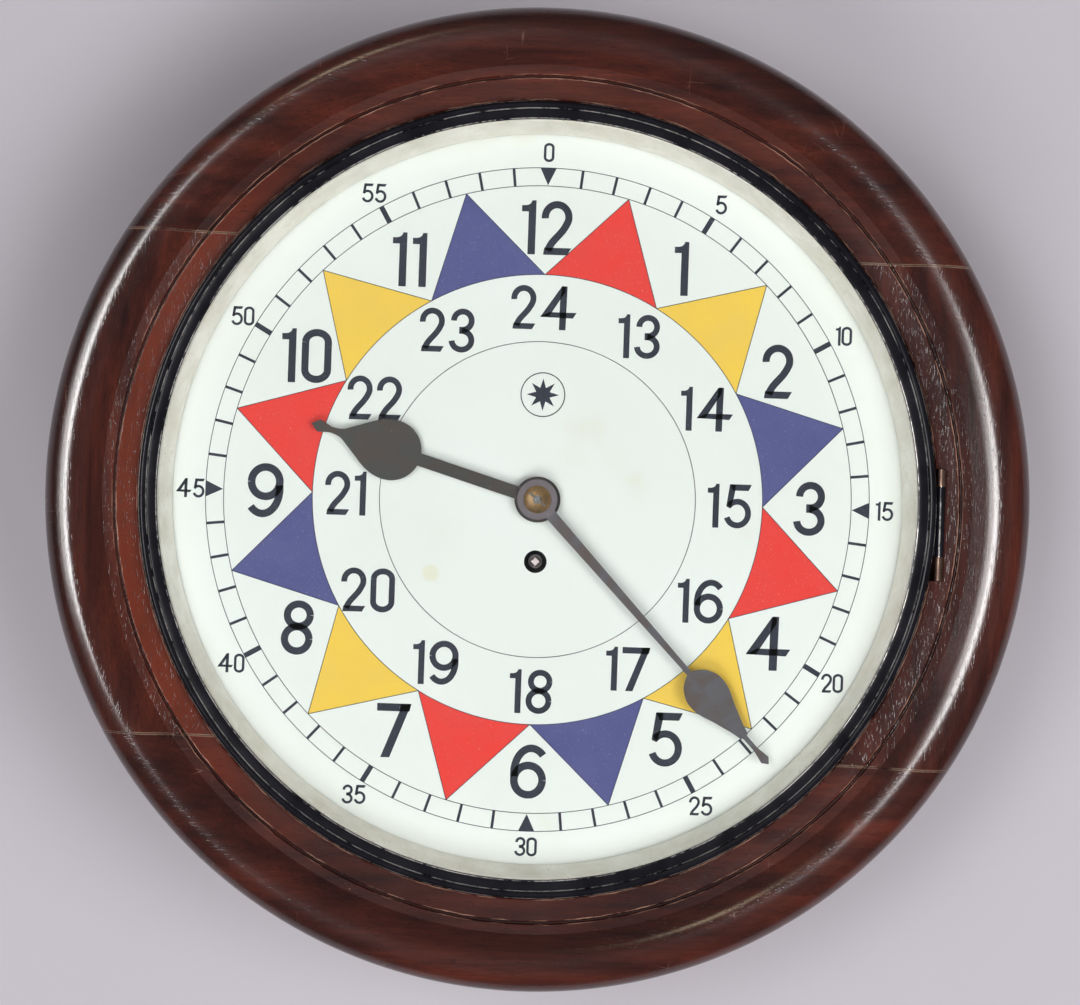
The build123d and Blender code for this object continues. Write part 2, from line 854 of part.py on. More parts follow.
def pendulum_door_catch():
    """Turn catch of the pendulum door; its tongue lies low enough to pass under the curved board."""
    return turn_catch(catch_plane_floor(), board_t + catch_curve_gap)


# Bezel

def bezel_ring():
    """Black turned ring with an outer bead, a plain inner slope, a lip and a pocket for the glass."""
    back = bezel_seat + body_gap
    lip_face = bezel_face + lip_t
    slope_top = lip_face + slope_rise
    pocket_r = lip_r + glass_lap + run_gap
    pocket_back = bezel_face - glass_t - 2 * sight_flange_t
    wall_r = bezel_r - bezel_wall
    bead_in = bezel_r - bead_w
    bead_top = (bezel_r - bead_w / 2, bezel_face + bead_rise)
    edges = [
        Polyline((bezel_r, bezel_face), (bezel_r, back), (wall_r, back), (wall_r, pocket_back),
                 (pocket_r, pocket_back), (pocket_r, bezel_face), (lip_r, bezel_face), (lip_r, lip_face),
                 (bead_in - groove, slope_top), (bead_in, slope_top - groove)),
        ThreePointArc((bead_in, slope_top - groove), bead_top, (bezel_r, bezel_face)),
    ]
    plane = Plane(origin=(0, 0, 0), x_dir=(1, 0, 0), z_dir=(0, 0, -1))
    return revolve(plane * make_face(edges), axis=Axis((0, 0, 0), (0, -1, 0)))


def bezel_glass():
    """Flat glass in the bezel's pocket."""
    return disc(lip_r + glass_lap, bezel_face - glass_t, bezel_face)


def sight_ring():
    """Silvered ring that slopes from the glass back towards the dial and holds the glass in."""
    top = bezel_face - glass_t
    flange_back = top - sight_flange_t
    mouth = lip_r - sight_mouth_in
    low = dial_face + sight_gap
    outline = [(lip_r + glass_lap, top), (lip_r + glass_lap, flange_back), (mouth + sight_t, flange_back),
               (sight_r + sight_t, low), (sight_r, low), (mouth, flange_back + sight_flange_t / 2),
               (mouth, top)]
    return turned(outline)


def knuckle(radius, low, high):
    """Upright hinge barrel on the bezel's hinge line."""
    middle = Pos(hinge_x, -hinge_depth, (low + high) / 2)
    return middle * Cylinder(radius, high - low)


def bezel_hinge_spans():
    """Heights of the hinge's three barrels: lower case, bezel, upper case."""
    low = -hinge_drop - bezel_knuckle / 2
    high = -hinge_drop + bezel_knuckle / 2
    return [(low - body_gap - case_knuckle_low, low - body_gap), (low, high),
            (high + body_gap, high + body_gap + case_knuckle_top)]


def bezel_hinge_case_leaf():
    """Brass leaf on the surround, with the hinge's end barrels."""
    lower, _, upper = bezel_hinge_spans()
    wall_x = hinge_x + knuckle_r
    foot = bezel_seat + body_gap
    leaf = block(wall_x - leaf_t, wall_x, foot, hinge_depth - knuckle_r - body_gap, lower[0], upper[1])
    for low, high in (lower, upper):
        leaf += block(wall_x - leaf_t, wall_x, foot, hinge_depth, low, high)
        leaf += knuckle(knuckle_r, low, high)
    leaf -= knuckle(hinge_pin_r + fit, lower[0], upper[1])
    for plane in hinge_screw_planes():
        leaf -= screw_hole(plane, small_shank_r, small_shank_l)
    return leaf


def bezel_hinge_pin():
    """Steel pin through the hinge's three barrels."""
    spans = bezel_hinge_spans()
    return knuckle(hinge_pin_r, spans[0][0], spans[2][1])


def bezel_hinge_leaf():
    """Leaf soldered to the bezel's wall, with the long middle barrel."""
    low, high = bezel_hinge_spans()[1]
    face_x = hinge_x - knuckle_r
    leaf = block(bezel_r - leaf_t * 2, face_x + leaf_t, hinge_depth - leaf_d + body_gap, hinge_depth, low, high)
    leaf -= disc(bezel_r + fit, bezel_seat, bezel_face)
    leaf += knuckle(knuckle_r, low, high)
    return leaf - knuckle(hinge_pin_r + run_gap, low - overrun, high + overrun)


def bezel_catch():
    """Spring strip inside the bezel's left side that grips in the surround's slot."""
    half = spring_catch_w / 2
    outer = math.sqrt((bezel_r - bezel_wall) ** 2 - half ** 2) - fit
    low = spring_catch_bottom()
    return block(-outer, -outer + spring_catch_t, low, low + spring_catch_l, -half, half)


# Dial

def dial_plate():
    """Painted steel dial with holes for the hands' pipes, the key and the screws."""
    plate = disc(dial_r, dial_back, dial_face)
    plate -= disc(dial_hole_r, dial_back - overrun, dial_face + overrun)
    plate -= disc(winding_hole_r, dial_back - overrun, dial_face + overrun, 0, -winding_drop)
    for plane in dial_screw_planes():
        plate -= screw_hole(plane, small_shank_r, small_shank_l)
    return plate


def surround_screws():
    """Small screws driven into the surround: four for the dial, two for the bezel hinge."""
    return Compound([small_screw(plane) for plane in dial_screw_planes() + hinge_screw_planes()])


def dial_foot_places():
    """Front-view places of the four dial feet, inside the plates' corners."""
    rows = [foot_z[0] + dial_foot_inset - pillar_inset, foot_z[1] - dial_foot_inset + pillar_inset]
    return [(x, z) for x in foot_x for z in rows]


def dial_feet():
    """Four turned feet between the dial and the front plate."""
    feet = []
    for x, z in dial_foot_places():
        back = front_plate_face - dial_foot_tenon_l
        foot = turned([(0, back), (dial_foot_tenon_r, back), (dial_foot_tenon_r, front_plate_face),
                       (dial_foot_r, front_plate_face), (dial_foot_r, dial_back), (0, dial_back)], x, z)
        feet.append(foot - cross_pin(x, z, foot_pin_depth(), fit))
    return Compound(feet)


def foot_pin_depth():
    """Depth of the pins that hold the dial feet, just behind the front plate."""
    return front_plate_back - pin_r - run_gap


def pillar_pin_depth():
    """Depth of the pins that hold the pillars, just before the front plate."""
    return front_plate_face + pin_r + run_gap


def cross_pin(x, z, depth, gap=0):
    """Upright taper pin through a foot or pillar, or its hole when a gap is given."""
    length = pin_l + (overrun if gap else 0)
    return Pos(x, -depth, z) * Cone(pin_r + gap, pin_r * pin_taper_share + gap, length)


def movement_pins():
    """Taper pins of the dial feet and pillars."""
    pins = [cross_pin(x, z, foot_pin_depth()) for x, z in dial_foot_places()]
    pins += [cross_pin(x, z, pillar_pin_depth()) for x in foot_x for z in foot_z]
    return Compound(pins)


# Movement frame

def plate_outline():
    """Front-view outline of both movement plates."""
    middle = Pos((plates_right - plates_left) / 2, (plates_top - plates_low) / 2)
    return middle * RectangleRounded(plates_right + plates_left, plates_top + plates_low, plates_round)


def front_plate():
    """Front plate with its pivot holes."""
    outline = plate_outline()
    holes = [(0, 0, centre_arbor_r + run_gap), (0, -winding_drop, fusee_front_r + run_gap),
             (barrel_x, barrel_z, barrel_arbor_r + fit)]
    holes += [(x, z, pivot_r + run_gap) for x, z in
              ((third_x, third_z), (0, escape_rise), (0, pallet_rise), (0, minute_rise))]
    holes += [(x, z, tenon_r + fit) for x in foot_x for z in foot_z]
    holes += [(x, z, dial_foot_tenon_r + fit) for x, z in dial_foot_places()]
    for x, z, radius in holes:
        outline -= Pos(x, z) * Circle(radius)
    plate = slab(outline, front_plate_back, front_plate_face)
    for plane, depth in front_plate_screws():
        plate -= screw_hole(plane, small_shank_r, depth)
    return plate


def front_plate_screws():
    """Planes and shank lengths of the screws in the front plate."""
    bridge_l = bar_face - front_plate_face + plate_t
    cock_l = cock_bar_back + minute_cock_t - front_plate_face + plate_t
    click_l_full = shake + ratchet_t + plate_t
    planes = [(plane, bridge_l) for plane in bridge_screw_planes()]
    return planes + [(minute_cock_screw_plane(), cock_l), (click_screw_plane(), click_l_full)]


def back_plate():
    """Back plate; the pallet arbor passes through its large hole to the back cock."""
    outline = plate_outline()
    holes = [(0, 0, centre_pivot_r + run_gap), (0, -winding_drop, fusee_rear_r + run_gap),
             (barrel_x, barrel_z, barrel_arbor_r + fit), (0, pallet_rise, pallet_hole_r),
             (third_x, third_z, pivot_r + run_gap), (0, escape_rise, pivot_r + run_gap)]
    for x, z, radius in holes:
        outline -= Pos(x, z) * Circle(radius)
    plate = slab(outline, back_plate_back, back_plate_face)
    for plane in cock_screw_planes():
        plate -= screw_hole(plane, small_shank_r, cock_t + cock_gap + plate_t)
    return plate


def plate_pillars():
    """Four turned pillars, riveted to the back plate and pinned before the front plate."""
    waist = (back_plate_face + front_plate_back) / 2
    ring = pillar_ring_l
    pillars = []
    for x in foot_x:
        for z in foot_z:
            outline = [(0, back_plate_face), (pillar_ring_r, back_plate_face),
                       (pillar_ring_r, back_plate_face + ring), (pillar_r, back_plate_face + 2 * ring),
                       (pillar_waist_r, waist - ring), (pillar_ring_r, waist - ring / 2),
                       (pillar_ring_r, waist + ring / 2), (pillar_waist_r, waist + ring),
                       (pillar_r, front_plate_back - 2 * ring), (pillar_ring_r, front_plate_back - ring),
                       (pillar_ring_r, front_plate_back), (tenon_r, front_plate_back),
                       (tenon_r, front_plate_back + tenon_l), (0, front_plate_back + tenon_l)]
            pillars.append(turned(outline, x, z) - cross_pin(x, z, pillar_pin_depth(), fit))
    return Compound(pillars)


def back_cock():
    """Bridge on the back plate that carries the pallet arbor's rear pivot and the suspension."""
    low = pallet_rise - cock_low
    high = pallet_rise + cock_high
    cock = block(-cock_half_w, cock_half_w, cock_back, cock_back + cock_t, low, high)
    for side in (-1, 1):
        inner = side * (cock_half_w - cock_foot_w)
        outer = side * cock_half_w
        cock += block(min(inner, outer), max(inner, outer), cock_back, back_plate_back, low, high)
    nose_back = rod_depth - strip_w / 2 - body_gap
    chop = block(-chop_half, chop_half, nose_back, cock_back,
                 pallet_rise + chop_low, pallet_rise + chop_high)
    chop -= block(-strip_slot / 2, strip_slot / 2, nose_back - overrun, rod_depth + strip_w / 2 + body_gap,
                  pallet_rise, pallet_rise + chop_high + overrun)
    cock += chop
    cock -= disc(pivot_r + run_gap, cock_back - overrun, back_plate_back, 0, pallet_rise)
    for plane in cock_screw_planes():
        cock -= screw_hole(plane, small_shank_r, cock_t + cock_gap + plate_t)
    return cock


def movement_screws():
    """Screws of the back cock, motion bridge, minute cock and set-up click."""
    screws = [small_screw(plane, cock_t + cock_gap + plate_t) for plane in cock_screw_planes()]
    screws += [small_screw(plane, length) for plane, length in front_plate_screws()]
    return Compound(screws)


# Toothed wheels

def toothed(teeth, module, shares, turn=0):
    """Front view of a toothed rim: radial flanks, sloped shoulders and a rounded tip on each tooth."""
    thick_share, tip_share, root_share = shares
    shoulder_share, narrow_share = tip_shoulder_shares
    pitch_r = teeth * module / 2
    top_r = pitch_r + tip_share * module
    root_r = pitch_r - root_share * module
    side_r = pitch_r + shoulder_share * (top_r - pitch_r)
    half = thick_share / teeth
    edges = []
    for tooth in range(teeth):
        middle = turn + 2 * math.pi * tooth / teeth
        before = middle - 2 * math.pi / teeth
        left = [polar(root_r, middle - half), polar(pitch_r, middle - half),
                polar(side_r, middle - half * narrow_share)]
        right = [polar(side_r, middle + half * narrow_share), polar(pitch_r, middle + half),
                 polar(root_r, middle + half)]
        edges.append(Polyline(polar(root_r, before + half), *left))
        edges.append(ThreePointArc(left[2], polar(top_r, middle), right[0]))
        edges.append(Polyline(*right))
    return make_face(edges)


def mesh_turn(from_turn, direction, from_teeth, teeth):
    """Turn of a wheel that meshes with another lying in the opposite of the given direction."""
    return direction + math.pi + math.pi / teeth - (from_turn - direction) * from_teeth / teeth


def crossed(rim, inner_r, outer_r, arms, arm_width):
    """Wheel outline with its web cut away between straight arms."""
    window = Circle(outer_r) - Circle(inner_r)
    for arm in range(arms):
        window -= Rot(0, 0, 360 * arm / arms) * Pos(outer_r / 2, 0) * Rectangle(outer_r, arm_width)
    return rim - window


def train_turns():
    """Turn of each toothed piece at rest, so that all of them are in mesh."""
    third_way = math.atan2(third_z, third_x)
    escape_way = math.atan2(escape_rise - third_z, -third_x)
    turns = {"centre_leaves": 0, "centre": 0, "cannon": 0, "third": 0}
    turns["great"] = mesh_turn(0, -math.pi / 2, centre_leaves, great_teeth)
    turns["third_leaves"] = mesh_turn(0, third_way, centre_teeth, third_leaves)
    turns["escape_leaves"] = mesh_turn(0, escape_way, third_teeth, escape_leaves)
    turns["minute"] = mesh_turn(0, math.pi / 2, cannon_teeth, minute_teeth)
    turns["minute_leaves"] = 0
    turns["hour"] = mesh_turn(0, -math.pi / 2, minute_leaves, hour_teeth)
    return turns


def plain_arbor(x, z, radius, back, front_depth):
    """Steel arbor with a pivot in each plate or cock."""
    outline = [(0, back + pivot_in), (pivot_r, back + pivot_in), (pivot_r, back + plate_t + shake),
               (radius, back + plate_t + shake), (radius, front_depth - plate_t - shake),
               (pivot_r, front_depth - plate_t - shake), (pivot_r, front_depth - pivot_in),
               (0, front_depth - pivot_in)]
    return turned(outline, x, z)


def leaves(teeth, module, turn, back, face, x=0, z=0):
    """Solid pinion head."""
    return slab(Pos(x, z) * toothed(teeth, module, pinion_leaf_shares, turn), back, face)


def great_wheel():
    """Solid brass wheel that turns on the fusee arbor and drives the centre pinion."""
    module = 2 * winding_drop / (great_teeth + centre_leaves)
    turns = train_turns()
    rim = toothed(great_teeth, module, wheel_tooth_shares, turns["great"]) - Circle(great_bore_r)
    back = back_plate_face + great_off
    return slab(Pos(0, -winding_drop) * rim, back, back + great_t)


def centre_arbor():
    """Long arbor that carries the centre pinion, the centre wheel and, before the dial, the hands."""
    module = 2 * winding_drop / (great_teeth + centre_leaves)
    pinion_back = back_plate_face + centre_pinion_off
    pinion_face = pinion_back + centre_pinion_l
    tip = collet_face + tip_past + 2 * collet_pin_r
    low_r = centre_leaves * module / 2 - pinion_leaf_shares[2] * module
    outline = [(0, back_plate_back + pivot_in), (centre_pivot_r, back_plate_back + pivot_in),
               (centre_pivot_r, back_plate_face + shake), (centre_arbor_r, back_plate_face + shake),
               (centre_arbor_r, pinion_back), (low_r, pinion_back), (low_r, pinion_face),
               (centre_arbor_r, pinion_face), (centre_arbor_r, collet_face - run_gap),
               (tip_r, collet_face - run_gap), (tip_r, tip), (0, tip)]
    arbor = turned(outline) + leaves(centre_leaves, module, 0, pinion_back, pinion_face)
    return arbor - collet_pin_solid(fit)


def collet_pin_solid(gap=0):
    """Tapered pin across the arbor's tip, over the collet, or its hole when a gap is given."""
    depth = collet_face + collet_pin_r + run_gap
    pin = Cone(collet_pin_r * pin_taper_share + gap, collet_pin_r + gap, collet_pin_l)
    return Pos(0, -depth, 0) * Rot(0, -collet_pin_turn, 0) * pin


def train_wheel(teeth, module, turn, back, thickness, bore):
    """Crossed-out brass wheel with its hub, about the hands' axis."""
    pitch_r = teeth * module / 2
    rim = toothed(teeth, module, wheel_tooth_shares, turn)
    outline = crossed(rim, hub_r, pitch_r - rim_w, 4, arm_w)
    wheel = slab(outline, back, back + thickness)
    wheel += disc(hub_r, back, back + hub_t)
    if bore:
        wheel -= disc(bore, back - overrun, back + hub_t + overrun)
    return wheel


def centre_wheel():
    """Centre wheel, driving the third pinion."""
    back = centre_wheel_face - centre_wheel_t
    return train_wheel(centre_teeth, centre_module, 0, back, centre_wheel_t, centre_arbor_r + fit)


def third_wheel():
    """Third wheel with its arbor and pinion."""
    turns = train_turns()
    pinion_face = front_plate_back - third_pinion_off
    back = back_plate_face + third_wheel_off
    wheel = train_wheel(third_teeth, third_module, 0, back, wheel_t, 0)
    arbor = plain_arbor(0, 0, arbor_r, back_plate_back, front_plate_face)
    gap = slab(Circle(arbor_r + fit), pinion_face - third_pinion_l, pinion_face)
    pinion = leaves(third_leaves, centre_module, turns["third_leaves"], pinion_face - third_pinion_l, pinion_face)
    return Pos(third_x, 0, third_z) * (wheel + (arbor - gap) + pinion)


def escape_wheel():
    """Escape wheel of thirty pointed teeth with its arbor and pinion."""
    turns = train_turns()
    points = []
    pitch = 2 * math.pi / escape_teeth
    for tooth in range(escape_teeth):
        lead = pitch * tooth
        points.append(polar(escape_wheel_r - escape_tooth_h, lead + pitch * escape_lead_share - pitch / 2))
        points.append(polar(escape_wheel_r, lead - pitch / 2))
        points.append(polar(escape_wheel_r, lead - pitch / 2 + pitch * escape_lead_share / 2))
        points.append(polar(escape_wheel_r - escape_tooth_h, lead + pitch * escape_back_share - pitch / 2))
    rim = make_face(Polyline(*points, close=True))
    back = back_plate_face + escape_wheel_off
    inner = escape_wheel_r - escape_tooth_h - wheel_t
    wheel = slab(crossed(rim, pallet_boss_r, inner, 4, arm_w), back, back + wheel_t)
    wheel += disc(pallet_boss_r, back, back + hub_t)
    pinion_back = back_plate_face + escape_pinion_off
    pinion_face = pinion_back + escape_pinion_l
    arbor = plain_arbor(0, 0, arbor_r, back_plate_back, front_plate_face)
    gap = slab(Circle(arbor_r + fit), pinion_back, pinion_face)
    pinion = leaves(escape_leaves, third_module, turns["escape_leaves"], pinion_back, pinion_face)
    return Pos(0, 0, escape_rise) * (wheel + (arbor - gap) + pinion)


# Fusee, line and barrel

def fusee_radius(depth):
    """Radius of the fusee's cone at a depth; the pull of the spring times it stays even."""
    start = fusee_back + fusee_flange_t
    share = (depth - start) / (fusee_face - fusee_cap_t - start)
    return 1 / (1 / fusee_big_r + share * (1 / fusee_small_r - 1 / fusee_big_r))


def fusee():
    """Fusee with its arbor, rear pivot, front bearing and winding square."""
    start = fusee_back + fusee_flange_t
    end = fusee_face - fusee_cap_t
    steps = 4
    depths = [start + (end - start) * step / steps for step in range(steps + 1)]
    cone = Spline(*[(fusee_radius(depth), depth) for depth in depths])
    edges = [
        Polyline((0, back_plate_back + pivot_in), (fusee_rear_r, back_plate_back + pivot_in),
                 (fusee_rear_r, back_plate_face + shake), (fusee_arbor_r, back_plate_face + shake),
                 (fusee_arbor_r, fusee_back), (fusee_flange_r, fusee_back), (fusee_flange_r, start),
                 (fusee_big_r, start)),
        cone,
        Polyline((fusee_small_r, end), (fusee_cap_r, end), (fusee_cap_r, fusee_face),
                 (fusee_arbor_r, fusee_face), (fusee_arbor_r, front_plate_back - shake),
                 (fusee_front_r, front_plate_back - shake), (fusee_front_r, front_plate_face + shake),
                 (0, front_plate_face + shake), (0, back_plate_back + pivot_in)),
    ]
    plane = Plane(origin=(0, 0, -winding_drop), x_dir=(1, 0, 0), z_dir=(0, 0, -1))
    body = revolve(plane * make_face(edges), axis=Axis((0, 0, -winding_drop), (0, -1, 0)))
    square = Pos(0, -winding_drop) * Rot(0, 0, 45) * Rectangle(square_w, square_w)
    key_end = slab(square, front_plate_face, dial_back - square_in)
    return body + chamfer(key_end.faces().sort_by(Axis.Y)[0].edges(), square_w / 8)


def barrel_span():
    """Back and front depths of the barrel, level with the fusee."""
    return fusee_back, fusee_face


def barrel():
    """Spring barrel: drum with its floor, and the cap snapped into its front."""
    back, face = barrel_span()
    bore = barrel_arbor_r + run_gap
    inner = barrel_r - barrel_wall
    drum = turned([(bore, back), (barrel_r, back), (barrel_r, face), (inner, face),
                   (inner, back + barrel_wall), (bore, back + barrel_wall)], barrel_x, barrel_z)
    cap = turned([(bore, face - barrel_wall), (inner - fit, face - barrel_wall), (inner - fit, face),
                  (bore, face)], barrel_x, barrel_z)
    return Compound([drum, cap])


def barrel_arbor():
    """Barrel arbor, held still in the plates; its front square carries the set-up ratchet."""
    back, face = barrel_span()
    shoulder = barrel_wall + shake
    outline = [(0, back_plate_back), (barrel_arbor_r, back_plate_back), (barrel_arbor_r, back + shoulder),
               (barrel_core_r, back + shoulder), (barrel_core_r, face - shoulder),
               (barrel_arbor_r, face - shoulder), (barrel_arbor_r, front_plate_face), (0, front_plate_face)]
    square = Pos(barrel_x, barrel_z) * Rectangle(setting_square_w, setting_square_w)
    top = front_plate_face + shake + ratchet_t + setting_square_w / 2
    return turned(outline, barrel_x, barrel_z) + slab(square, front_plate_face, top)


def mainspring():
    """Coiled steel spring strip between the barrel arbor and the barrel's wall."""
    back, face = barrel_span()
    start_r = barrel_core_r + spring_start_gap
    inner = []
    outer = []
    for half_turn in range(2 * spring_turns):
        radius = start_r + half_turn * spring_pitch / 2
        middle = spring_pitch / 2 * (half_turn % 2)
        side = 1 - 2 * (half_turn % 2)
        for edges, reach in ((inner, radius), (outer, radius + spring_t)):
            edges.append(ThreePointArc((middle + side * reach, 0), (middle, side * reach),
                                       (middle - side * reach, 0)))
    ends = [Line(inner[0] @ 0, outer[0] @ 0), Line(inner[-1] @ 1, outer[-1] @ 1)]
    strip = Pos(barrel_x, barrel_z) * make_face(inner + outer + ends)
    edge = barrel_wall + spring_edge_gap
    return slab(strip, back + edge, face - edge)


def biarc(start, start_way, end, end_way):
    """Two arcs in space that join two points with given directions and meet without a corner."""
    chord = end - start
    lead = chord.dot(start_way + end_way)
    spread = 2 * (1 - start_way.dot(end_way))
    reach = (math.sqrt(lead ** 2 + spread * chord.dot(chord)) - lead) / spread
    middle = (start + end + (start_way - end_way) * reach) * 0.5
    first = TangentArc(start, middle, tangent=start_way)
    return [first, TangentArc(middle, end, tangent=first % 1)]


def wound(x, z, radius_at, end_turn, end_depth, half_turns, pitch):
    """Points and directions each half turn of a winding that ends at a given turn and depth."""
    knots = []
    for step in range(half_turns + 1):
        left = (half_turns - step) * math.pi
        depth = end_depth - pitch * left / (2 * math.pi)
        radius = radius_at(depth)
        swell = (radius_at(depth + pitch) - radius) / (2 * math.pi)
        turn = end_turn - left
        cos, sin = math.cos(turn), math.sin(turn)
        way = Vector(swell * cos - radius * sin, -pitch / (2 * math.pi), swell * sin + radius * cos)
        knots.append((Vector(x + radius * cos, -depth, z + radius * sin), way.normalized()))
    return knots


def fusee_line():
    """Wound steel line: turns on the fusee, a straight run and one turn round the barrel."""
    back, face = barrel_span()
    lift = line_r + body_gap
    end_depth = fusee_face - line_end_gap
    off_r = fusee_radius(end_depth) + lift
    wrap_r = barrel_r + lift
    run_x, run_z = barrel_x, barrel_z + winding_drop
    span = math.hypot(run_x, run_z)
    side = (off_r - wrap_r) / span
    rise = math.sqrt(1 - side ** 2)
    normal = (run_x / span * side + run_z / span * rise, run_z / span * side - run_x / span * rise)
    off_turn = math.atan2(normal[1], normal[0])
    knots = wound(0, -winding_drop, lambda depth: fusee_radius(depth) + lift, off_turn, end_depth,
                  line_half_turns, line_pitch)
    slope = line_pitch / (2 * math.pi * off_r)
    wrap_pitch = 2 * math.pi * wrap_r * slope
    wrap_depth = end_depth + slope * span * rise + wrap_pitch
    wraps = wound(barrel_x, barrel_z, lambda depth: wrap_r, off_turn + 2 * math.pi, wrap_depth, 2, wrap_pitch)
    run_way = (wraps[0][0] - knots[-1][0]).normalized()
    knots[-1] = (knots[-1][0], run_way)
    wraps[0] = (wraps[0][0], run_way)
    edges = []
    for (start, start_way), (end, end_way) in zip(knots, knots[1:]):
        edges += biarc(start, start_way, end, end_way)
    edges.append(Line(knots[-1][0], wraps[0][0]))
    for (start, start_way), (end, end_way) in zip(wraps, wraps[1:]):
        edges += biarc(start, start_way, end, end_way)
    path = Wire(edges)
    line = sweep(Plane(origin=knots[0][0], z_dir=knots[0][1]) * Circle(line_r), path=path)
    radii = sorted(edge.radius for edge in edges if edge.geom_type == GeomType.CIRCLE)
    print("fusee line: length", round(path.length, 1), "tightest radius", round(radii[0], 2),
          "tube volume share", round(line.volume / (path.length * math.pi * line_r ** 2), 4))
    print("fusee line: least gap to itself", round(line_self_gap(edges), 2))
    return line


def line_self_gap(edges):
    """Least space between two turns of the line, measured on points along it."""
    points = [edge @ (step / 6) for edge in edges for step in range(6)]
    gaps = []
    for first in range(len(points)):
        for second in range(first + 9, len(points)):
            gaps.append((points[first] - points[second]).length)
    return min(gaps) - 2 * line_r


def setup_ratchet():
    """Ratchet wheel on the barrel arbor's square, before the front plate."""
    pitch = 2 * math.pi / ratchet_teeth
    points = []
    for tooth in range(ratchet_teeth):
        points.append(polar(ratchet_r - ratchet_tooth_h, pitch * tooth))
        points.append(polar(ratchet_r, pitch * tooth))
    outline = make_face(Polyline(*points, close=True))
    outline -= Rectangle(setting_square_w + 2 * fit, setting_square_w + 2 * fit)
    back = front_plate_face + shake
    return slab(Pos(barrel_x, barrel_z) * outline, back, back + ratchet_t)


def setup_click():
    """Click that holds the set-up ratchet, screwed to the front plate."""
    x, z = click_pivot()
    body = Circle(click_w / 2 + small_shank_r) + Pos(-click_l / 2, 0) * Rectangle(click_l, click_w)
    outline = Pos(x, z) * Rot(0, 0, click_turn) * body
    outline -= Pos(x, z) * Circle(small_shank_r + fit)
    outline -= Pos(barrel_x, barrel_z) * Circle(ratchet_r + fit)
    back = front_plate_face + shake
    return slab(outline, back, back + ratchet_t)


# Pallets, crutch and pendulum

def anchor():
    """Steel anchor on the pallet arbor; its pallets stand just clear of the wheel's teeth."""
    right = [(x * escape_wheel_r, z * escape_wheel_r) for x, z in pallet_shares]
    left = [(-x, z) for x, z in reversed(right)]
    crown_low = (0, -pallet_boss_r)
    outline = make_face(Polyline(*right, crown_low, *left, close=True)) + Circle(pallet_boss_r)
    drop = pallet_rise - escape_rise
    outline -= Pos(0, -drop) * Circle(escape_wheel_r + pallet_gap)
    middle = back_plate_face + escape_wheel_off + wheel_t / 2
    arms = slab(Pos(0, pallet_rise) * outline, middle - pallet_t / 2, middle + pallet_t / 2)
    rear_shoulder = cock_back + cock_t + shake
    front_shoulder = front_plate_back - shake
    arbor = turned([(0, cock_back + pivot_in), (pivot_r, cock_back + pivot_in), (pivot_r, rear_shoulder),
                    (pallet_arbor_r, rear_shoulder), (pallet_arbor_r, front_shoulder),
                    (pivot_r, front_shoulder), (pivot_r, front_plate_face - pivot_in),
                    (0, front_plate_face - pivot_in)], 0, pallet_rise)
    return arms + arbor


def crutch():
    """Crutch on the pallet arbor, behind the back plate; its fork holds the pendulum rod."""
    back = back_plate_back - crutch_off - crutch_t
    face = back_plate_back - crutch_off
    hub = disc(pallet_boss_r, back, face, 0, pallet_rise)
    stem = block(-crutch_w / 2, crutch_w / 2, back, back + crutch_w, fork_z, pallet_rise - pallet_boss_r / 2)
    fork_back = rod_depth - fork_past
    fork = block(-fork_half, fork_half, fork_back, back + crutch_w, fork_z - fork_h, fork_z)
    slot = rod_r + fork_gap
    fork -= block(-slot, slot, fork_back - overrun, rod_depth + fork_past, fork_z - fork_h - overrun,
                  fork_z + overrun)
    return hub + stem + fork - disc(pallet_arbor_r + fit, back - overrun, face + overrun, 0, pallet_rise)


def suspension_spring():
    """Thin suspension strip with its top pin and lower chops."""
    low = pallet_rise - strip_low
    high = pallet_rise + chop_high + body_gap + 2 * strip_pin_r
    back = rod_depth - strip_w / 2
    face = rod_depth + strip_w / 2
    strip = block(-strip_t / 2, strip_t / 2, back, face, low, high)
    pin_z = high - strip_pin_r
    pin = Pos(0, -rod_depth, pin_z) * Rot(0, 90, 0) * Cylinder(strip_pin_r, strip_pin_l)
    chops = block(-hook_half, hook_half, back, face, low - hook_h, low)
    return strip + pin + chops


def pendulum_rod():
    """Steel rod with the hook that hangs on the suspension's chops and a threaded end."""
    top = pallet_rise - strip_low - hook_h
    head = block(-hook_half, hook_half, rod_depth - strip_w / 2, rod_depth + strip_w / 2, top - hook_h, top)
    length = top - hook_h - rod_end_z
    rod = Pos(0, -rod_depth, rod_end_z + length / 2) * Cylinder(rod_r, length)
    return head + rod


def pendulum_bob():
    """Lens-shaped brass bob, free to slide on the rod above the rating nut."""
    half = bob_t / 2
    edge = bob_edge_t / 2
    back = rod_depth
    edges = [
        Line((0, back - half), (0, back + half)),
        ThreePointArc((0, back + half), *lens_arc(back, half, edge, 1)),
        Line((bob_r, back + edge), (bob_r, back - edge)),
        ThreePointArc((0, back - half), *lens_arc(back, half, edge, -1)),
    ]
    plane = Plane(origin=(0, 0, bob_z), x_dir=(1, 0, 0), z_dir=(0, 0, -1))
    lens = revolve(plane * make_face(edges), axis=Axis((0, 0, bob_z), (0, -1, 0)))
    bore = Pos(0, -rod_depth, bob_z) * Cylinder(rod_r + run_gap, 2 * bob_r + overrun)
    return lens - bore


def lens_arc(back, half, edge, side):
    """Middle and end point of one face of the bob's lens."""
    sag = half - edge
    curve = (bob_r ** 2 + sag ** 2) / (2 * sag)
    mid_sag = curve - math.sqrt(curve ** 2 - (bob_r / 2) ** 2)
    return [(bob_r / 2, back + side * (half - mid_sag)), (bob_r, back + side * edge)]


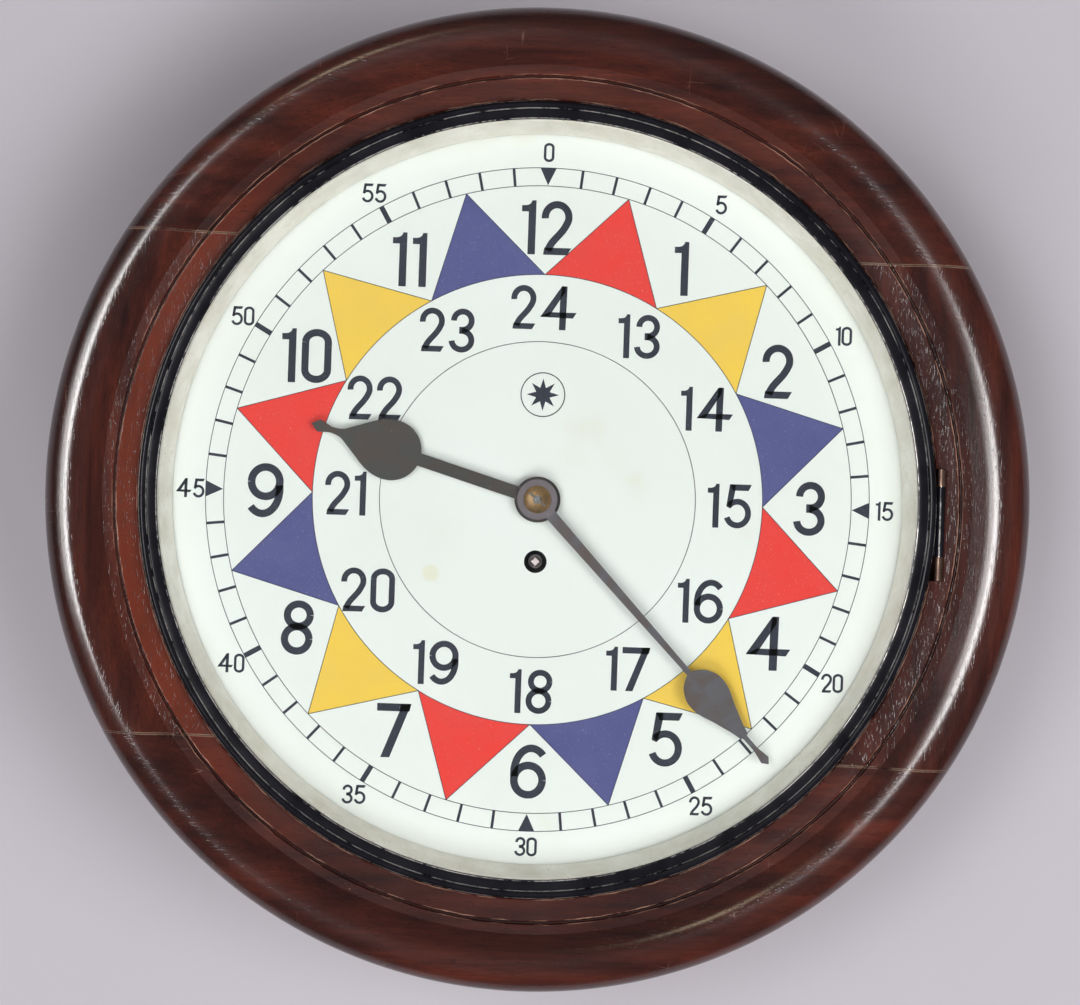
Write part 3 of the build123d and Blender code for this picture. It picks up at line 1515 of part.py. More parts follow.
def rating_nut():
    """Knurled nut under the bob; turning it moves the bob."""
    outline = Circle(nut_r)
    for grip in range(nut_grips):
        outline -= Pos(*polar(nut_r, 2 * math.pi * grip / nut_grips)) * Circle(nut_grip_r)
    outline -= Circle(rod_r + run_gap)
    return Pos(0, -rod_depth, nut_top - nut_h) * extrude(outline, amount=nut_h)


# Motion work and hands

def cannon_pinion():
    """Cannon wheel and its long pipe, which carries the minute hand."""
    module = 2 * minute_rise / (cannon_teeth + minute_teeth)
    rim = toothed(cannon_teeth, module, wheel_tooth_shares, 0)
    wheel = slab(rim, motion_back, motion_back + wheel_t)
    pipe = disc(cannon_pipe_r, motion_back, minute_hand_face)
    return wheel + pipe - disc(centre_arbor_r + fit, motion_back - overrun, minute_hand_face + overrun)


def minute_wheel():
    """Minute wheel with its pinion, pivoted between the front plate and the minute cock."""
    turns = train_turns()
    module = 2 * minute_rise / (cannon_teeth + minute_teeth)
    pinion_module = 2 * minute_rise / (minute_leaves + hour_teeth)
    rim = toothed(minute_teeth, module, wheel_tooth_shares, turns["minute"])
    wheel = slab(rim, motion_back, motion_back + wheel_t)
    pinion_back = motion_back + wheel_t
    pinion_face = hour_wheel_face + minute_gap
    wheel += leaves(minute_leaves, pinion_module, turns["minute_leaves"], pinion_back, pinion_face)
    wheel += turned([(0, front_plate_back + pivot_in), (pivot_r, front_plate_back + pivot_in),
                     (pivot_r, front_plate_face + shake), (minute_arbor_r, front_plate_face + shake),
                     (minute_arbor_r, motion_back), (0, motion_back)])
    wheel += disc(minute_pivot_r, pinion_back, cock_bar_back + minute_cock_t - pivot_in)
    return Pos(0, 0, minute_rise) * wheel


def minute_cock():
    """Small cock that carries the minute wheel's front pivot."""
    reach = math.hypot(minute_cock_x, minute_cock_z - minute_rise)
    turn = math.degrees(math.atan2(minute_cock_z - minute_rise, minute_cock_x))
    bar = Pos(0, minute_rise) * Rot(0, 0, turn) * Pos(reach / 2, 0) * Rectangle(reach, minute_cock_r)
    bar += Pos(0, minute_rise) * Circle(minute_cock_r)
    bar += Pos(minute_cock_x, minute_cock_z) * Circle(minute_cock_r)
    cock = slab(bar, cock_bar_back, cock_bar_back + minute_cock_t)
    cock += disc(minute_cock_r, front_plate_face, cock_bar_back, minute_cock_x, minute_cock_z)
    cock -= disc(minute_pivot_r + run_gap, cock_bar_back - overrun, cock_bar_back + minute_cock_t + overrun,
                 0, minute_rise)
    return cock - screw_hole(minute_cock_screw_plane(), small_shank_r, cock_bar_back)


def motion_bridge():
    """Brass bridge over the cannon wheel with the fixed pipe that the hour wheel turns on."""
    foot = bar_foot_half
    bar = block(-bar_reach - foot, bar_reach + foot, bar_back, bar_face, -bar_half_h, bar_half_h)
    for side in (-1, 1):
        bar += block(side * bar_reach - foot, side * bar_reach + foot, front_plate_face, bar_back,
                     -bar_half_h, bar_half_h)
    bar += disc(bridge_pipe_r, bar_back, bar_back + bridge_pipe_l)
    bar -= disc(cannon_pipe_r + run_gap, bar_back - overrun, bar_back + bridge_pipe_l + overrun)
    for plane in bridge_screw_planes():
        bar -= screw_hole(plane, small_shank_r, bar_face)
    return bar


def hour_wheel():
    """Hour wheel and its pipe, which carries the hour hand."""
    turns = train_turns()
    module = 2 * minute_rise / (minute_leaves + hour_teeth)
    rim = toothed(hour_teeth, module, wheel_tooth_shares, turns["hour"])
    pipe_face = hour_hand_back + hand_t + pipe_past
    wheel = slab(rim, hour_wheel_back, hour_wheel_face) + disc(hour_pipe_r, hour_wheel_back, pipe_face)
    return wheel - disc(bridge_pipe_r + run_gap, hour_wheel_back - overrun, pipe_face + overrun)


def mirrored(points):
    """The same outline points on the left of the hand's middle line, in reverse order."""
    return [(-x, z) for x, z in reversed(points)]


def hand_blade(right_edges):
    """Face of a pointed hand from the edges of its right half."""
    left_edges = [edge.mirror(Plane.YZ) for edge in right_edges]
    start = right_edges[0] @ 0
    return make_face(right_edges + left_edges + [Line(start, (-start.X, start.Y))])


def hour_hand():
    """Hour hand: round pod on a plain arm, hollow taper to a narrow neck and a small arrowhead."""
    span = hour_neck_at - hour_pod_at
    side = [(hour_pod_r * wide, hour_pod_at + span * far) for wide, far in hour_taper_shares]
    root = hour_pod_at - math.sqrt(hour_pod_r ** 2 - hour_arm_half ** 2)
    low_mid = polar(hour_pod_r, -math.pi / 4)
    neck = (hour_neck_half, hour_neck_at)
    head = (hour_head_half, hour_hand_l - hour_head_l)
    edges = [
        Line((hour_arm_half, 0), (hour_arm_half, root)),
        ThreePointArc((hour_arm_half, root), (low_mid[0], hour_pod_at + low_mid[1]), (hour_pod_r, hour_pod_at)),
        Spline((hour_pod_r, hour_pod_at), *side, neck, tangents=[(0, 1), (0, 1)]),
        Polyline(neck, head, (0, hour_hand_l)),
    ]
    blade = hand_blade(edges) + Circle(hour_hub_r) - Circle(hour_pipe_r + fit)
    return slab(Rot(0, 0, -hour_angle) * blade, hour_hand_back, hour_hand_back + hand_t)


def minute_hand():
    """Minute hand: tapered arm, long drop-shaped pod, narrow neck and a small arrowhead."""
    length = sight_r - minute_tip_gap
    back = minute_pod_at - minute_pod_back
    swell = [(minute_pod_r * wide, minute_pod_at - minute_pod_back * far) for wide, far in minute_back_shares]
    span = minute_neck_at - minute_pod_at
    side = [(minute_pod_r * wide, minute_pod_at + span * far) for wide, far in minute_taper_shares]
    neck = (minute_neck_half, minute_neck_at)
    head = (minute_head_half, length - minute_head_l)
    shoulder = (minute_arm_end_half, back)
    edges = [
        Line((minute_arm_half, 0), shoulder),
        Spline(shoulder, *swell, (minute_pod_r, minute_pod_at), *side, neck,
               tangents=[(1, 0.15), (0, 1)]),
        Polyline(neck, head, (0, length)),
    ]
    blade = hand_blade(edges) + Circle(minute_hub_r) - Circle(cannon_pipe_r + fit)
    return slab(Rot(0, 0, -minute_angle) * blade, minute_hand_back, minute_hand_face)


def hand_collet():
    """Domed brass collet pressed on the minute hand by the taper pin."""
    bore = centre_arbor_r + fit
    plane = Plane(origin=(0, 0, 0), x_dir=(1, 0, 0), z_dir=(0, 0, -1))
    low = (collet_r, minute_hand_face)
    rim = (collet_r, minute_hand_face + collet_t / 5)
    top = (bore, collet_face - fit)
    edges = [
        Polyline((bore, collet_face - fit), (bore, minute_hand_face), low, rim),
        TangentArc(top, rim, tangent=(1, 0)),
    ]
    return revolve(plane * make_face(edges), axis=Axis((0, 0, 0), (0, -1, 0)))


ring = surround_ring()
nodes = {
    "surround_top_segment": surround_segment(ring, 0, 1),
    "surround_bottom_segment": surround_segment(ring, 0, -1),
    "surround_left_segment": surround_segment(ring, -1, 0),
    "surround_right_segment": surround_segment(ring, 1, 0),
    "surround_lugs": surround_lugs(),
    "surround_screws": surround_screws(),
    "fixing_pegs": fixing_pegs(),
    "box_left_side": box_side(-1),
    "box_right_side": box_right_side(),
    "box_top": box_top_board(),
    "box_bottom": box_bottom_board(),
    "back_board": back_board(),
    "hanging_plate": hanging_plate(),
    "case_screws": case_screws(),
    "door_hinges": door_hinges(),
    "side_door": side_door(),
    "side_door_catch": side_door_catch(),
    "pendulum_door": pendulum_door(),
    "pendulum_door_catch": pendulum_door_catch(),
    "bezel_ring": bezel_ring(),
    "bezel_glass": bezel_glass(),
    "sight_ring": sight_ring(),
    "bezel_hinge_leaf": bezel_hinge_leaf(),
    "bezel_hinge_case_leaf": bezel_hinge_case_leaf(),
    "bezel_hinge_pin": bezel_hinge_pin(),
    "bezel_catch": bezel_catch(),
    "dial_plate": dial_plate(),
    "dial_feet": dial_feet(),
    "movement_pins": movement_pins(),
    "front_plate": front_plate(),
    "back_plate": back_plate(),
    "plate_pillars": plate_pillars(),
    "back_cock": back_cock(),
    "movement_screws": movement_screws(),
    "great_wheel": great_wheel(),
    "centre_arbor": centre_arbor(),
    "centre_wheel": centre_wheel(),
    "third_wheel": third_wheel(),
    "escape_wheel": escape_wheel(),
    "fusee": fusee(),
    "fusee_line": fusee_line(),
    "barrel": barrel(),
    "barrel_arbor": barrel_arbor(),
    "mainspring": mainspring(),
    "setup_ratchet_and_click": Compound([setup_ratchet(), setup_click()]),
    "anchor": anchor(),
    "crutch": crutch(),
    "suspension_spring": suspension_spring(),
    "pendulum_rod": pendulum_rod(),
    "pendulum_bob": pendulum_bob(),
    "rating_nut": rating_nut(),
    "cannon_pinion": cannon_pinion(),
    "minute_wheel": minute_wheel(),
    "minute_cock": minute_cock(),
    "motion_bridge": motion_bridge(),
    "hour_wheel": hour_wheel(),
    "hour_hand": hour_hand(),
    "minute_hand": minute_hand(),
    "hand_collet": hand_collet(),
    "hand_pin": collet_pin_solid(),
}

os.makedirs("parts", exist_ok=True)
for name, solid in nodes.items():
    export_step(solid, f"parts/{name}.step")
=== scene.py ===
import math

import bmesh
import bpy
from mathutils import Matrix, Vector


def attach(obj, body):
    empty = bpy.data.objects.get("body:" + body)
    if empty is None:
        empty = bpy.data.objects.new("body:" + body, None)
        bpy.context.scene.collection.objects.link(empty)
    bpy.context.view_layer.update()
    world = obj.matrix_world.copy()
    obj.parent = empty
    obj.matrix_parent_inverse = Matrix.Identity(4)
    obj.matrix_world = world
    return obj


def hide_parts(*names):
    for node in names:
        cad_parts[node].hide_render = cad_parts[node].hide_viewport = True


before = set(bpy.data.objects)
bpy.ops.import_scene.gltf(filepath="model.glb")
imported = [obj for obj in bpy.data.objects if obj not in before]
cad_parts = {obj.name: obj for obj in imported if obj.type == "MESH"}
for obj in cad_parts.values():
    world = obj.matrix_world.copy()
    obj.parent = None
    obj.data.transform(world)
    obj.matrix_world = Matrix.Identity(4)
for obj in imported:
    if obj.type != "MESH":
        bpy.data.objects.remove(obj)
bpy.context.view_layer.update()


# The view: one camera squarely in front of the dial, a little right of and below the hands' axis,
# with the clock hanging about two degrees out of true as it does on its hook.
def linked(name, data):
    """A new object that holds the data, linked to the scene."""
    made = bpy.data.objects.new(name, data)
    bpy.context.scene.collection.objects.link(made)
    return made


camera_place = (0.00126, -1.7, -0.00131)
camera_roll = math.radians(1.95)
film_width = 36.0
focal_length_px = 3400
photo_width_px = 1080
camera_data = bpy.data.cameras.new("front_camera")
camera_data.sensor_width = film_width
camera_data.lens = film_width * focal_length_px / photo_width_px
camera_data.clip_end = 50.0
camera = linked("front_camera", camera_data)
camera.matrix_world = (Matrix.Translation(camera_place)
                       @ Matrix.Rotation(math.radians(90), 4, "X")
                       @ Matrix.Rotation(camera_roll, 4, "Z"))
bpy.context.scene.camera = camera
bpy.context.scene.view_settings.view_transform = "Standard"


# The room: a pale lilac-grey painted wall that the clock hangs on. It is one-sided and lets the lamps'
# light through, so that the back of the clock can be seen too. Some lamps light only dull surfaces and
# others are seen only in the polish.
def put(tree, kind, inputs=None, **settings):
    """Adds one node, with its settings and its inputs, each a value or a socket to link."""
    made = tree.nodes.new("ShaderNode" + kind)
    for name, value in settings.items():
        setattr(made, name, value)
    for name, value in (inputs or {}).items():
        socket = made.inputs[name]
        if isinstance(value, bpy.types.NodeSocket):
            tree.links.new(value, socket)
        else:
            socket.default_value = value
    return made


def calc(tree, operation, first, second=0.0, third=0.0, clamp=False):
    """One Math node; returns its value."""
    made = put(tree, "Math", {0: first, 1: second, 2: third}, operation=operation, use_clamp=clamp)
    return made.outputs[0]


def between(tree, value, low, high, to_low=0.0, to_high=1.0):
    """Spreads a value's range over another range, held at both ends."""
    made = put(tree, "MapRange", {0: value, 1: low, 2: high, 3: to_low, 4: to_high}, clamp=True)
    return made.outputs[0]


def clouds(tree, where, scale, detail, roughness=0.55, distortion=0.0):
    """Noise over a surface; returns its value."""
    made = put(tree, "TexNoise", {"Vector": where, "Scale": scale, "Detail": detail,
                                  "Roughness": roughness, "Distortion": distortion})
    return made.outputs["Fac"]


def patches(tree, where, scale, detail, low, high, roughness=0.55):
    """Noise sharpened into patches between a low and a high value."""
    return between(tree, clouds(tree, where, scale, detail, roughness), low, high)


def blend_colours(tree, share, low, high):
    """Mixes two colours; returns the colour."""
    return put(tree, "Mix", {0: share, 6: low, 7: high}, data_type="RGBA").outputs[2]


def srgb(red, green, blue):
    """Colour as seen on a screen, 0 to 255, turned into the values a shader takes."""
    made = []
    for part in (red, green, blue):
        share = part / 255
        made.append(share / 12.92 if share <= 0.04045 else ((share + 0.055) / 1.055) ** 2.4)
    return (*made, 1.0)


def finish_tree(name):
    """A new material with its Principled shader; returns material, tree and shader."""
    made = bpy.data.materials.new(name)
    made.use_nodes = True
    return made, made.node_tree, made.node_tree.nodes["Principled BSDF"]


def place(tree):
    """Coordinates fixed to the piece, in metres in the clock's own frame."""
    return put(tree, "TexCoord").outputs["Object"]


wall_paint, tree, shader = finish_tree("wall_paint")
mottle = patches(tree, place(tree), 3.0, 5.0, 0.3, 0.7)
shader.inputs["Roughness"].default_value = 0.9
shader.inputs["Specular IOR Level"].default_value = 0.2
tree.links.new(blend_colours(tree, mottle, srgb(191, 186, 193), srgb(196, 191, 198)),
               shader.inputs["Base Color"])
see_through = put(tree, "BsdfTransparent")
open_to_light = calc(tree, "MAXIMUM", put(tree, "NewGeometry").outputs["Backfacing"],
                     put(tree, "LightPath").outputs["Is Shadow Ray"])
one_sided = put(tree, "MixShader", {0: open_to_light, 1: shader.outputs[0], 2: see_through.outputs[0]})
tree.links.new(one_sided.outputs[0], tree.nodes["Material Output"].inputs["Surface"])

wall_reach = 4
wall_gap = 0.0005
wall_mesh = bpy.data.meshes.new("room_wall")
wall_mesh.from_pydata([(across * wall_reach, wall_gap, up * wall_reach)
                       for across, up in ((-1, -1), (1, -1), (1, 1), (-1, 1))], [], [(0, 1, 2, 3)])
room_wall = linked("room_wall", wall_mesh)
room_wall.data.materials.append(wall_paint)

sky = bpy.data.worlds.new("studio")
bpy.context.scene.world = sky
sky.use_nodes = True
sky.node_tree.nodes["Background"].inputs["Color"].default_value = (0.93, 0.96, 1.0, 1.0)
sky.node_tree.nodes["Background"].inputs["Strength"].default_value = 0.1


def lamp(name, spot, size, power, on_dull=True, in_polish=True, tint=(1.0, 1.0, 1.0)):
    """Soft rectangular lamp that faces the middle of the clock at the wall. It lights dull surfaces,
    is mirrored in polish, or both."""
    data = bpy.data.lights.new(name, "AREA")
    data.shape = "RECTANGLE"
    data.size, data.size_y = size
    data.energy = power
    data.color = tint
    made = linked(name, data)
    made.location = spot
    made.visible_diffuse = on_dull
    made.visible_glossy = in_polish
    made.visible_transmission = False
    made.rotation_mode = "QUATERNION"
    made.rotation_quaternion = (-Vector(spot)).to_track_quat("-Z", "Y")


lamp("window_left", (-1.45, -4.6, 0.3), (1.4, 1.7), 72, in_polish=False)
lamp("window_in_polish", (-1.95, -4.4, 0.25), (1.2, 1.7), 150, on_dull=False)
lamp("curtain_in_polish", (-2.85, -3.6, 0.25), (1.3, 1.9), 65, on_dull=False)
lamp("room_in_polish", (-3.3, -2.8, 0.2), (1.5, 2.4), 24, on_dull=False)
lamp("soft_right", (1.5, -2.9, -0.4), (1.6, 1.6), 53, in_polish=False)
lamp("soft_below", (-0.2, -2.6, -1.7), (1.6, 1.0), 31, in_polish=False)
lamp("warm_above", (-0.73, -1.95, 1.53), (0.35, 0.35), 3, on_dull=False, tint=(1.0, 0.86, 0.6))
lamp("soft_back", (0.6, 2.4, 1.6), (1.6, 1.6), 40)


# Surround: a ring turned from four glued segments of dark mahogany and French polished, each with its
# grain along it. From the bezel outwards it has a flat band, a fine quirk, a nearly level floor and a
# plain slope up to a rounded nose, and its outside draws in a little towards the wall.
def times(tree, first, second, clamp=False):
    """The product of two values."""
    return calc(tree, "MULTIPLY", first, second, clamp=clamp)


def plus(tree, first, second, clamp=False):
    """The sum of two values."""
    return calc(tree, "ADD", first, second, clamp=clamp)


def fading(tree, value, full, gone, peak=1.0):
    """Mask that falls from its peak at one value to nothing at the other."""
    return between(tree, value, full, gone, peak, 0.0)


def near_line(tree, value, line, full, gone, peak=1.0):
    """Mask along the line where a value has a given size, full close by and gone further off."""
    return fading(tree, calc(tree, "ABSOLUTE", calc(tree, "SUBTRACT", value, line)), full, gone, peak)


def stretched(tree, where, scale, turn=(0.0, 0.0, 0.0)):
    """Coordinates stretched and turned."""
    return put(tree, "Mapping", {"Vector": where, "Scale": scale, "Rotation": turn}).outputs[0]


def streaks(tree, where, scale, detail, roughness=0.55):
    """Noise drawn out along the axes that have a small scale."""
    return clouds(tree, stretched(tree, where, scale), 1.0, detail, roughness)


def dots(tree, where, scale, full, gone):
    """Mask of small round dots, one to a cell."""
    cells = put(tree, "TexVoronoi", {"Vector": where, "Scale": scale})
    return fading(tree, cells.outputs["Distance"], full, gone)


def apart(tree, where):
    """The three parts of a place: X to the right, Y to the back, Z up."""
    return put(tree, "SeparateXYZ", {0: where}).outputs


def off_axis(tree, across, up):
    """Distance from an axis that runs from front to back."""
    flat = put(tree, "CombineXYZ", {0: across, 2: up}).outputs[0]
    return put(tree, "VectorMath", {0: flat}, operation="LENGTH").outputs["Value"]


def laid_over(tree, colour, mask, amount, tint):
    """The colour with a share of a tint over it where the mask is."""
    return blend_colours(tree, times(tree, mask, amount), colour, tint)


def feed(tree, shader, colour, dullness, relief, strength, distance):
    """Links a shader's colour, its roughness and, through a bump, its fine relief."""
    tree.links.new(colour, shader.inputs["Base Color"])
    tree.links.new(dullness, shader.inputs["Roughness"])
    bump = put(tree, "Bump", {"Height": relief, "Strength": strength, "Distance": distance})
    tree.links.new(bump.outputs[0], shader.inputs["Normal"])


def group(name, inputs, outputs):
    """A new shader node group with named sockets; returns tree, input sockets and output node."""
    made = bpy.data.node_groups.new(name, "ShaderNodeTree")
    for label, kind, start in inputs:
        socket = made.interface.new_socket(name=label, in_out="INPUT", socket_type="NodeSocket" + kind)
        if start is not None:
            socket.default_value = start
    for label, kind in outputs:
        made.interface.new_socket(name=label, in_out="OUTPUT", socket_type="NodeSocket" + kind)
    return made, made.nodes.new("NodeGroupInput").outputs, made.nodes.new("NodeGroupOutput")


def placed(tree, node_group, inputs):
    """Puts a node group in a tree with its own values; returns its output sockets."""
    return put(tree, "Group", inputs, node_tree=node_group).outputs


wood_grain, given, out = group(
    "wood_grain",
    [("Along grain", "Vector", None), ("Light", "Color", srgb(98, 44, 32)),
     ("Middle", "Color", srgb(68, 31, 25)), ("Dark", "Color", srgb(38, 19, 17))],
    [("Colour", "Color"), ("Height", "Float")])
tree = wood_grain
along = given["Along grain"]
sway = put(tree, "TexNoise", {"Vector": along, "Scale": 7.0, "Detail": 2.0}).outputs["Color"]
sway = put(tree, "VectorMath", {0: sway, 3: 0.012}, operation="SCALE").outputs[0]
wavy = put(tree, "VectorMath", {0: along, 1: sway}, operation="ADD").outputs[0]
figure = streaks(tree, wavy, (6.0, 90.0, 90.0), 7.0, 0.62)
ribbon = streaks(tree, wavy, (10.0, 22.0, 22.0), 3.0, 0.5)
fibre = streaks(tree, wavy, (45.0, 1100.0, 1100.0), 3.0, 0.6)
pores = between(tree, streaks(tree, wavy, (230.0, 1900.0, 1900.0), 2.0, 0.5), 0.60, 0.70)
tone = plus(tree, times(tree, figure, 0.62), times(tree, ribbon, 0.38))
colour = blend_colours(tree, between(tree, tone, 0.36, 0.5), given["Dark"], given["Middle"])
colour = blend_colours(tree, between(tree, tone, 0.5, 0.66), colour, given["Light"])
colour = blend_colours(tree, between(tree, fibre, 0.35, 0.65, 0.0, 0.35), colour, given["Dark"])
colour = laid_over(tree, colour, pores, 0.6, given["Dark"])
tree.links.new(colour, out.inputs["Colour"])
tree.links.new(calc(tree, "SUBTRACT", times(tree, fibre, 0.4), pores), out.inputs["Height"])

knocks, given, out = group("knocks", [("Vector", "Vector", None), ("Amount", "Float", 0.5)],
                           [("Mask", "Float"), ("Haze", "Float")])
tree = knocks
where = given["Vector"]
scratches = []
for scale, turn, width in (((22.0, 5.0, 90.0), (0.4, 0.3, 0.5), 0.012),
                           ((60.0, 9.0, 14.0), (0.2, 1.1, 0.9), 0.010)):
    cells = put(tree, "TexVoronoi", {"Vector": stretched(tree, where, scale, turn), "Scale": 1.0},
                feature="DISTANCE_TO_EDGE")
    scratches.append(fading(tree, cells.outputs["Distance"], 0.0, width))
scratch = times(tree, plus(tree, *scratches), patches(tree, where, 38.0, 3.0, 0.6, 0.7))
pit = times(tree, dots(tree, where, 150.0, 0.03, 0.08), patches(tree, where, 21.0, 2.0, 0.60, 0.68))
tree.links.new(times(tree, plus(tree, scratch, pit), given["Amount"], clamp=True), out.inputs["Mask"])
tree.links.new(patches(tree, where, 9.0, 5.0, 0.3, 0.7), out.inputs["Haze"])

joint_at = 0.1165
joint_lean = math.radians(0.8)
inner_arris_r = 0.1861
outer_arris_r = 0.1957
quirk_r = 0.1959
floor_edge_r = 0.1977
knocked_from_r = (0.1975, 0.2005)
left_band_r = (0.1955, 0.1958)
left_band_x = (-0.10, -0.165)
front_y = (-0.115, -0.118)


def polished_mahogany(name, turn):
    """French-polished mahogany whose grain runs along the piece's X axis after the turn. Its arrises are
    rubbed and carry painted highlight lines, its quirk holds painted shade, its joints show, and the band is
    lighter and redder on its left side."""
    made, tree, shader = finish_tree(name)
    where = place(tree)
    along = stretched(tree, where, (1.0, 1.0, 1.0), turn)
    wood = placed(tree, wood_grain, {"Along grain": along})
    marks = placed(tree, knocks, {"Vector": where, "Amount": 0.7})
    across, back, up = apart(tree, where)
    radius = off_axis(tree, across, up)
    in_front = between(tree, back, *front_y)

    # Painted highlight lines, partly rubbed wear, on the band's two arrises and the floor's outer edge.
    ragged = calc(tree, "MULTIPLY_ADD", clouds(tree, where, 160.0, 3.0), 0.0012, radius)
    outer_arris_wear_glint = near_line(tree, ragged, outer_arris_r, 0.0001, 0.0003)
    inner_arris_wear_glint = near_line(tree, ragged, inner_arris_r, 0.0001, 0.0004)
    floor_edge_wear_glint = near_line(tree, ragged, floor_edge_r, 0.0001, 0.0003, 0.6)
    arris_wear_and_glint = plus(tree, plus(tree, outer_arris_wear_glint, inner_arris_wear_glint), floor_edge_wear_glint, clamp=True)
    rubbed = patches(tree, where, 70.0, 4.0, 0.42, 0.6, 0.6)
    arris_wear_and_glint = times(tree, arris_wear_and_glint, times(tree, rubbed, times(tree, in_front, 0.7)))

    knocked = times(tree, marks["Mask"], between(tree, radius, *knocked_from_r, 0.1, 1.0))
    # Painted shade along the quirk's groove.
    quirk_shade = times(tree, near_line(tree, radius, quirk_r, 0.0002, 0.0007), in_front)

    leaning_up = plus(tree, times(tree, across, math.sin(joint_lean)),
                      times(tree, up, math.cos(joint_lean)))
    from_joint = calc(tree, "SUBTRACT", calc(tree, "ABSOLUTE", leaning_up), joint_at)
    from_joint = calc(tree, "ABSOLUTE", from_joint)
    crack = fading(tree, from_joint, 0.0001, 0.00025)
    glue_line = times(tree, fading(tree, from_joint, 0.0004, 0.0007),
                      patches(tree, where, 48.0, 5.0, 0.38, 0.52, 0.65))

    # The band is lighter and redder on its left side.
    left_band_redder = times(tree, fading(tree, radius, *left_band_r), between(tree, across, *left_band_x))
    uneven = between(tree, clouds(tree, along, 26.0, 5.0, 0.65), 0.3, 0.6, 0.35, 1.0)
    left_band_redder = times(tree, left_band_redder, times(tree, in_front, uneven))
    left_band_tone = blend_colours(tree, between(tree, wood["Height"], -0.4, 0.4),
                               srgb(90, 34, 20), srgb(124, 52, 32))

    colour = laid_over(tree, wood["Colour"], left_band_redder, 0.75, left_band_tone)
    colour = laid_over(tree, colour, quirk_shade, 0.7, srgb(24, 12, 13))
    colour = laid_over(tree, colour, glue_line, 0.6, srgb(158, 128, 108))
    colour = laid_over(tree, colour, crack, 0.8, srgb(22, 12, 10))
    colour = blend_colours(tree, arris_wear_and_glint, colour, srgb(196, 150, 128))
    colour = laid_over(tree, colour, knocked, 0.55, srgb(150, 100, 80))
    dullness = plus(tree, between(tree, marks["Haze"], 0.0, 1.0, 0.16, 0.24), times(tree, knocked, 0.25))
    relief = plus(tree, times(tree, wood["Height"], 0.5), times(tree, knocked, -0.8))
    relief = plus(tree, relief, times(tree, clouds(tree, where, 60.0, 2.0), 1.2))
    relief = plus(tree, relief, times(tree, streaks(tree, along, (150.0, 700.0, 700.0), 3.0, 0.6), 0.8))
    feed(tree, shader, colour, dullness, relief, 0.17, 0.0003)
    shader.inputs["Specular IOR Level"].default_value = 0.6
    return made


level_grain = (0.0, 0.0, 0.0)
upright_grain = (0.0, math.radians(90), 0.0)
mahogany_level = polished_mahogany("mahogany_level", level_grain)
mahogany_upright = polished_mahogany("mahogany_upright", upright_grain)


def metres(*sizes):
    """Millimetres turned into metres."""
    return tuple(size / 1000 for size in sizes)


def arc_run(middle, reach, start, stop, count):
    """Points along an ellipse's arc, from its middle, its two half sizes, and start and stop degrees."""
    made = []
    for step in range(count + 1):
        angle = math.radians(start + (stop - start) * step / count)
        made.append((middle[0] + reach[0] * math.cos(angle), middle[1] + reach[1] * math.sin(angle)))
    return made


def lathe(name, section):
    """Closed ring turned from a section of (radius, distance from the wall) points, in millimetres."""
    steps_round = 720
    points = []
    faces = []
    count = len(section)
    for step in range(steps_round):
        angle = 2 * math.pi * step / steps_round
        here = step * count
        there = (step + 1) % steps_round * count
        for spot, (radius, depth) in enumerate(section):
            after = (spot + 1) % count
            points.append(metres(radius * math.cos(angle), -depth, radius * math.sin(angle)))
            faces.append((here + spot, here + after, there + after, there + spot))
    made = bpy.data.meshes.new(name)
    made.from_pydata(points, [], faces)
    return made


def smooth_mesh(mesh):
    """Turns a mesh's faces outwards and shades it smooth but for its sharp edges."""
    crisp_from = math.radians(25.0)
    bm = bmesh.new()
    bm.from_mesh(mesh)
    bmesh.ops.recalc_face_normals(bm, faces=bm.faces)
    for face in bm.faces:
        face.smooth = True
    for edge in bm.edges:
        edge.smooth = len(edge.link_faces) == 2 and edge.calc_face_angle(math.pi) < crisp_from
    bm.to_mesh(mesh)
    bm.free()
    return mesh


def new_piece(name, mesh, material, body, slot_name, *nodes):
    """Links a finished mesh as a piece of the clock."""
    made = linked(name, mesh)
    made.data.materials.append(material)
    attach(made, body)
    if nodes:
        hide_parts(*nodes)


def block_mesh(name, low, high):
    """Box between two corners, in millimetres, as a cutter."""
    made = bpy.data.meshes.new(name)
    bm = bmesh.new()
    corners = [bm.verts.new(metres(x, y, z))
               for x in (low[0], high[0]) for y in (low[1], high[1]) for z in (low[2], high[2])]
    for face in ((0, 1, 3, 2), (4, 6, 7, 5), (0, 4, 5, 1), (2, 3, 7, 6), (0, 2, 6, 4), (1, 5, 7, 3)):
        bm.faces.new([corners[spot] for spot in face])
    bmesh.ops.recalc_face_normals(bm, faces=bm.faces)
    bm.to_mesh(made)
    bm.free()
    return made


def cut_away(mesh, cutter):
    """The mesh less the cutter."""
    body = linked("cut_body", mesh)
    tool = linked("cut_tool", cutter)
    cut = body.modifiers.new("cut", "BOOLEAN")
    cut.operation = "DIFFERENCE"
    cut.solver = "EXACT"
    cut.object = tool
    seen = body.evaluated_get(bpy.context.evaluated_depsgraph_get())
    result = bpy.data.meshes.new_from_object(seen)
    for made in (body, tool):
        bpy.data.objects.remove(made)
    return result


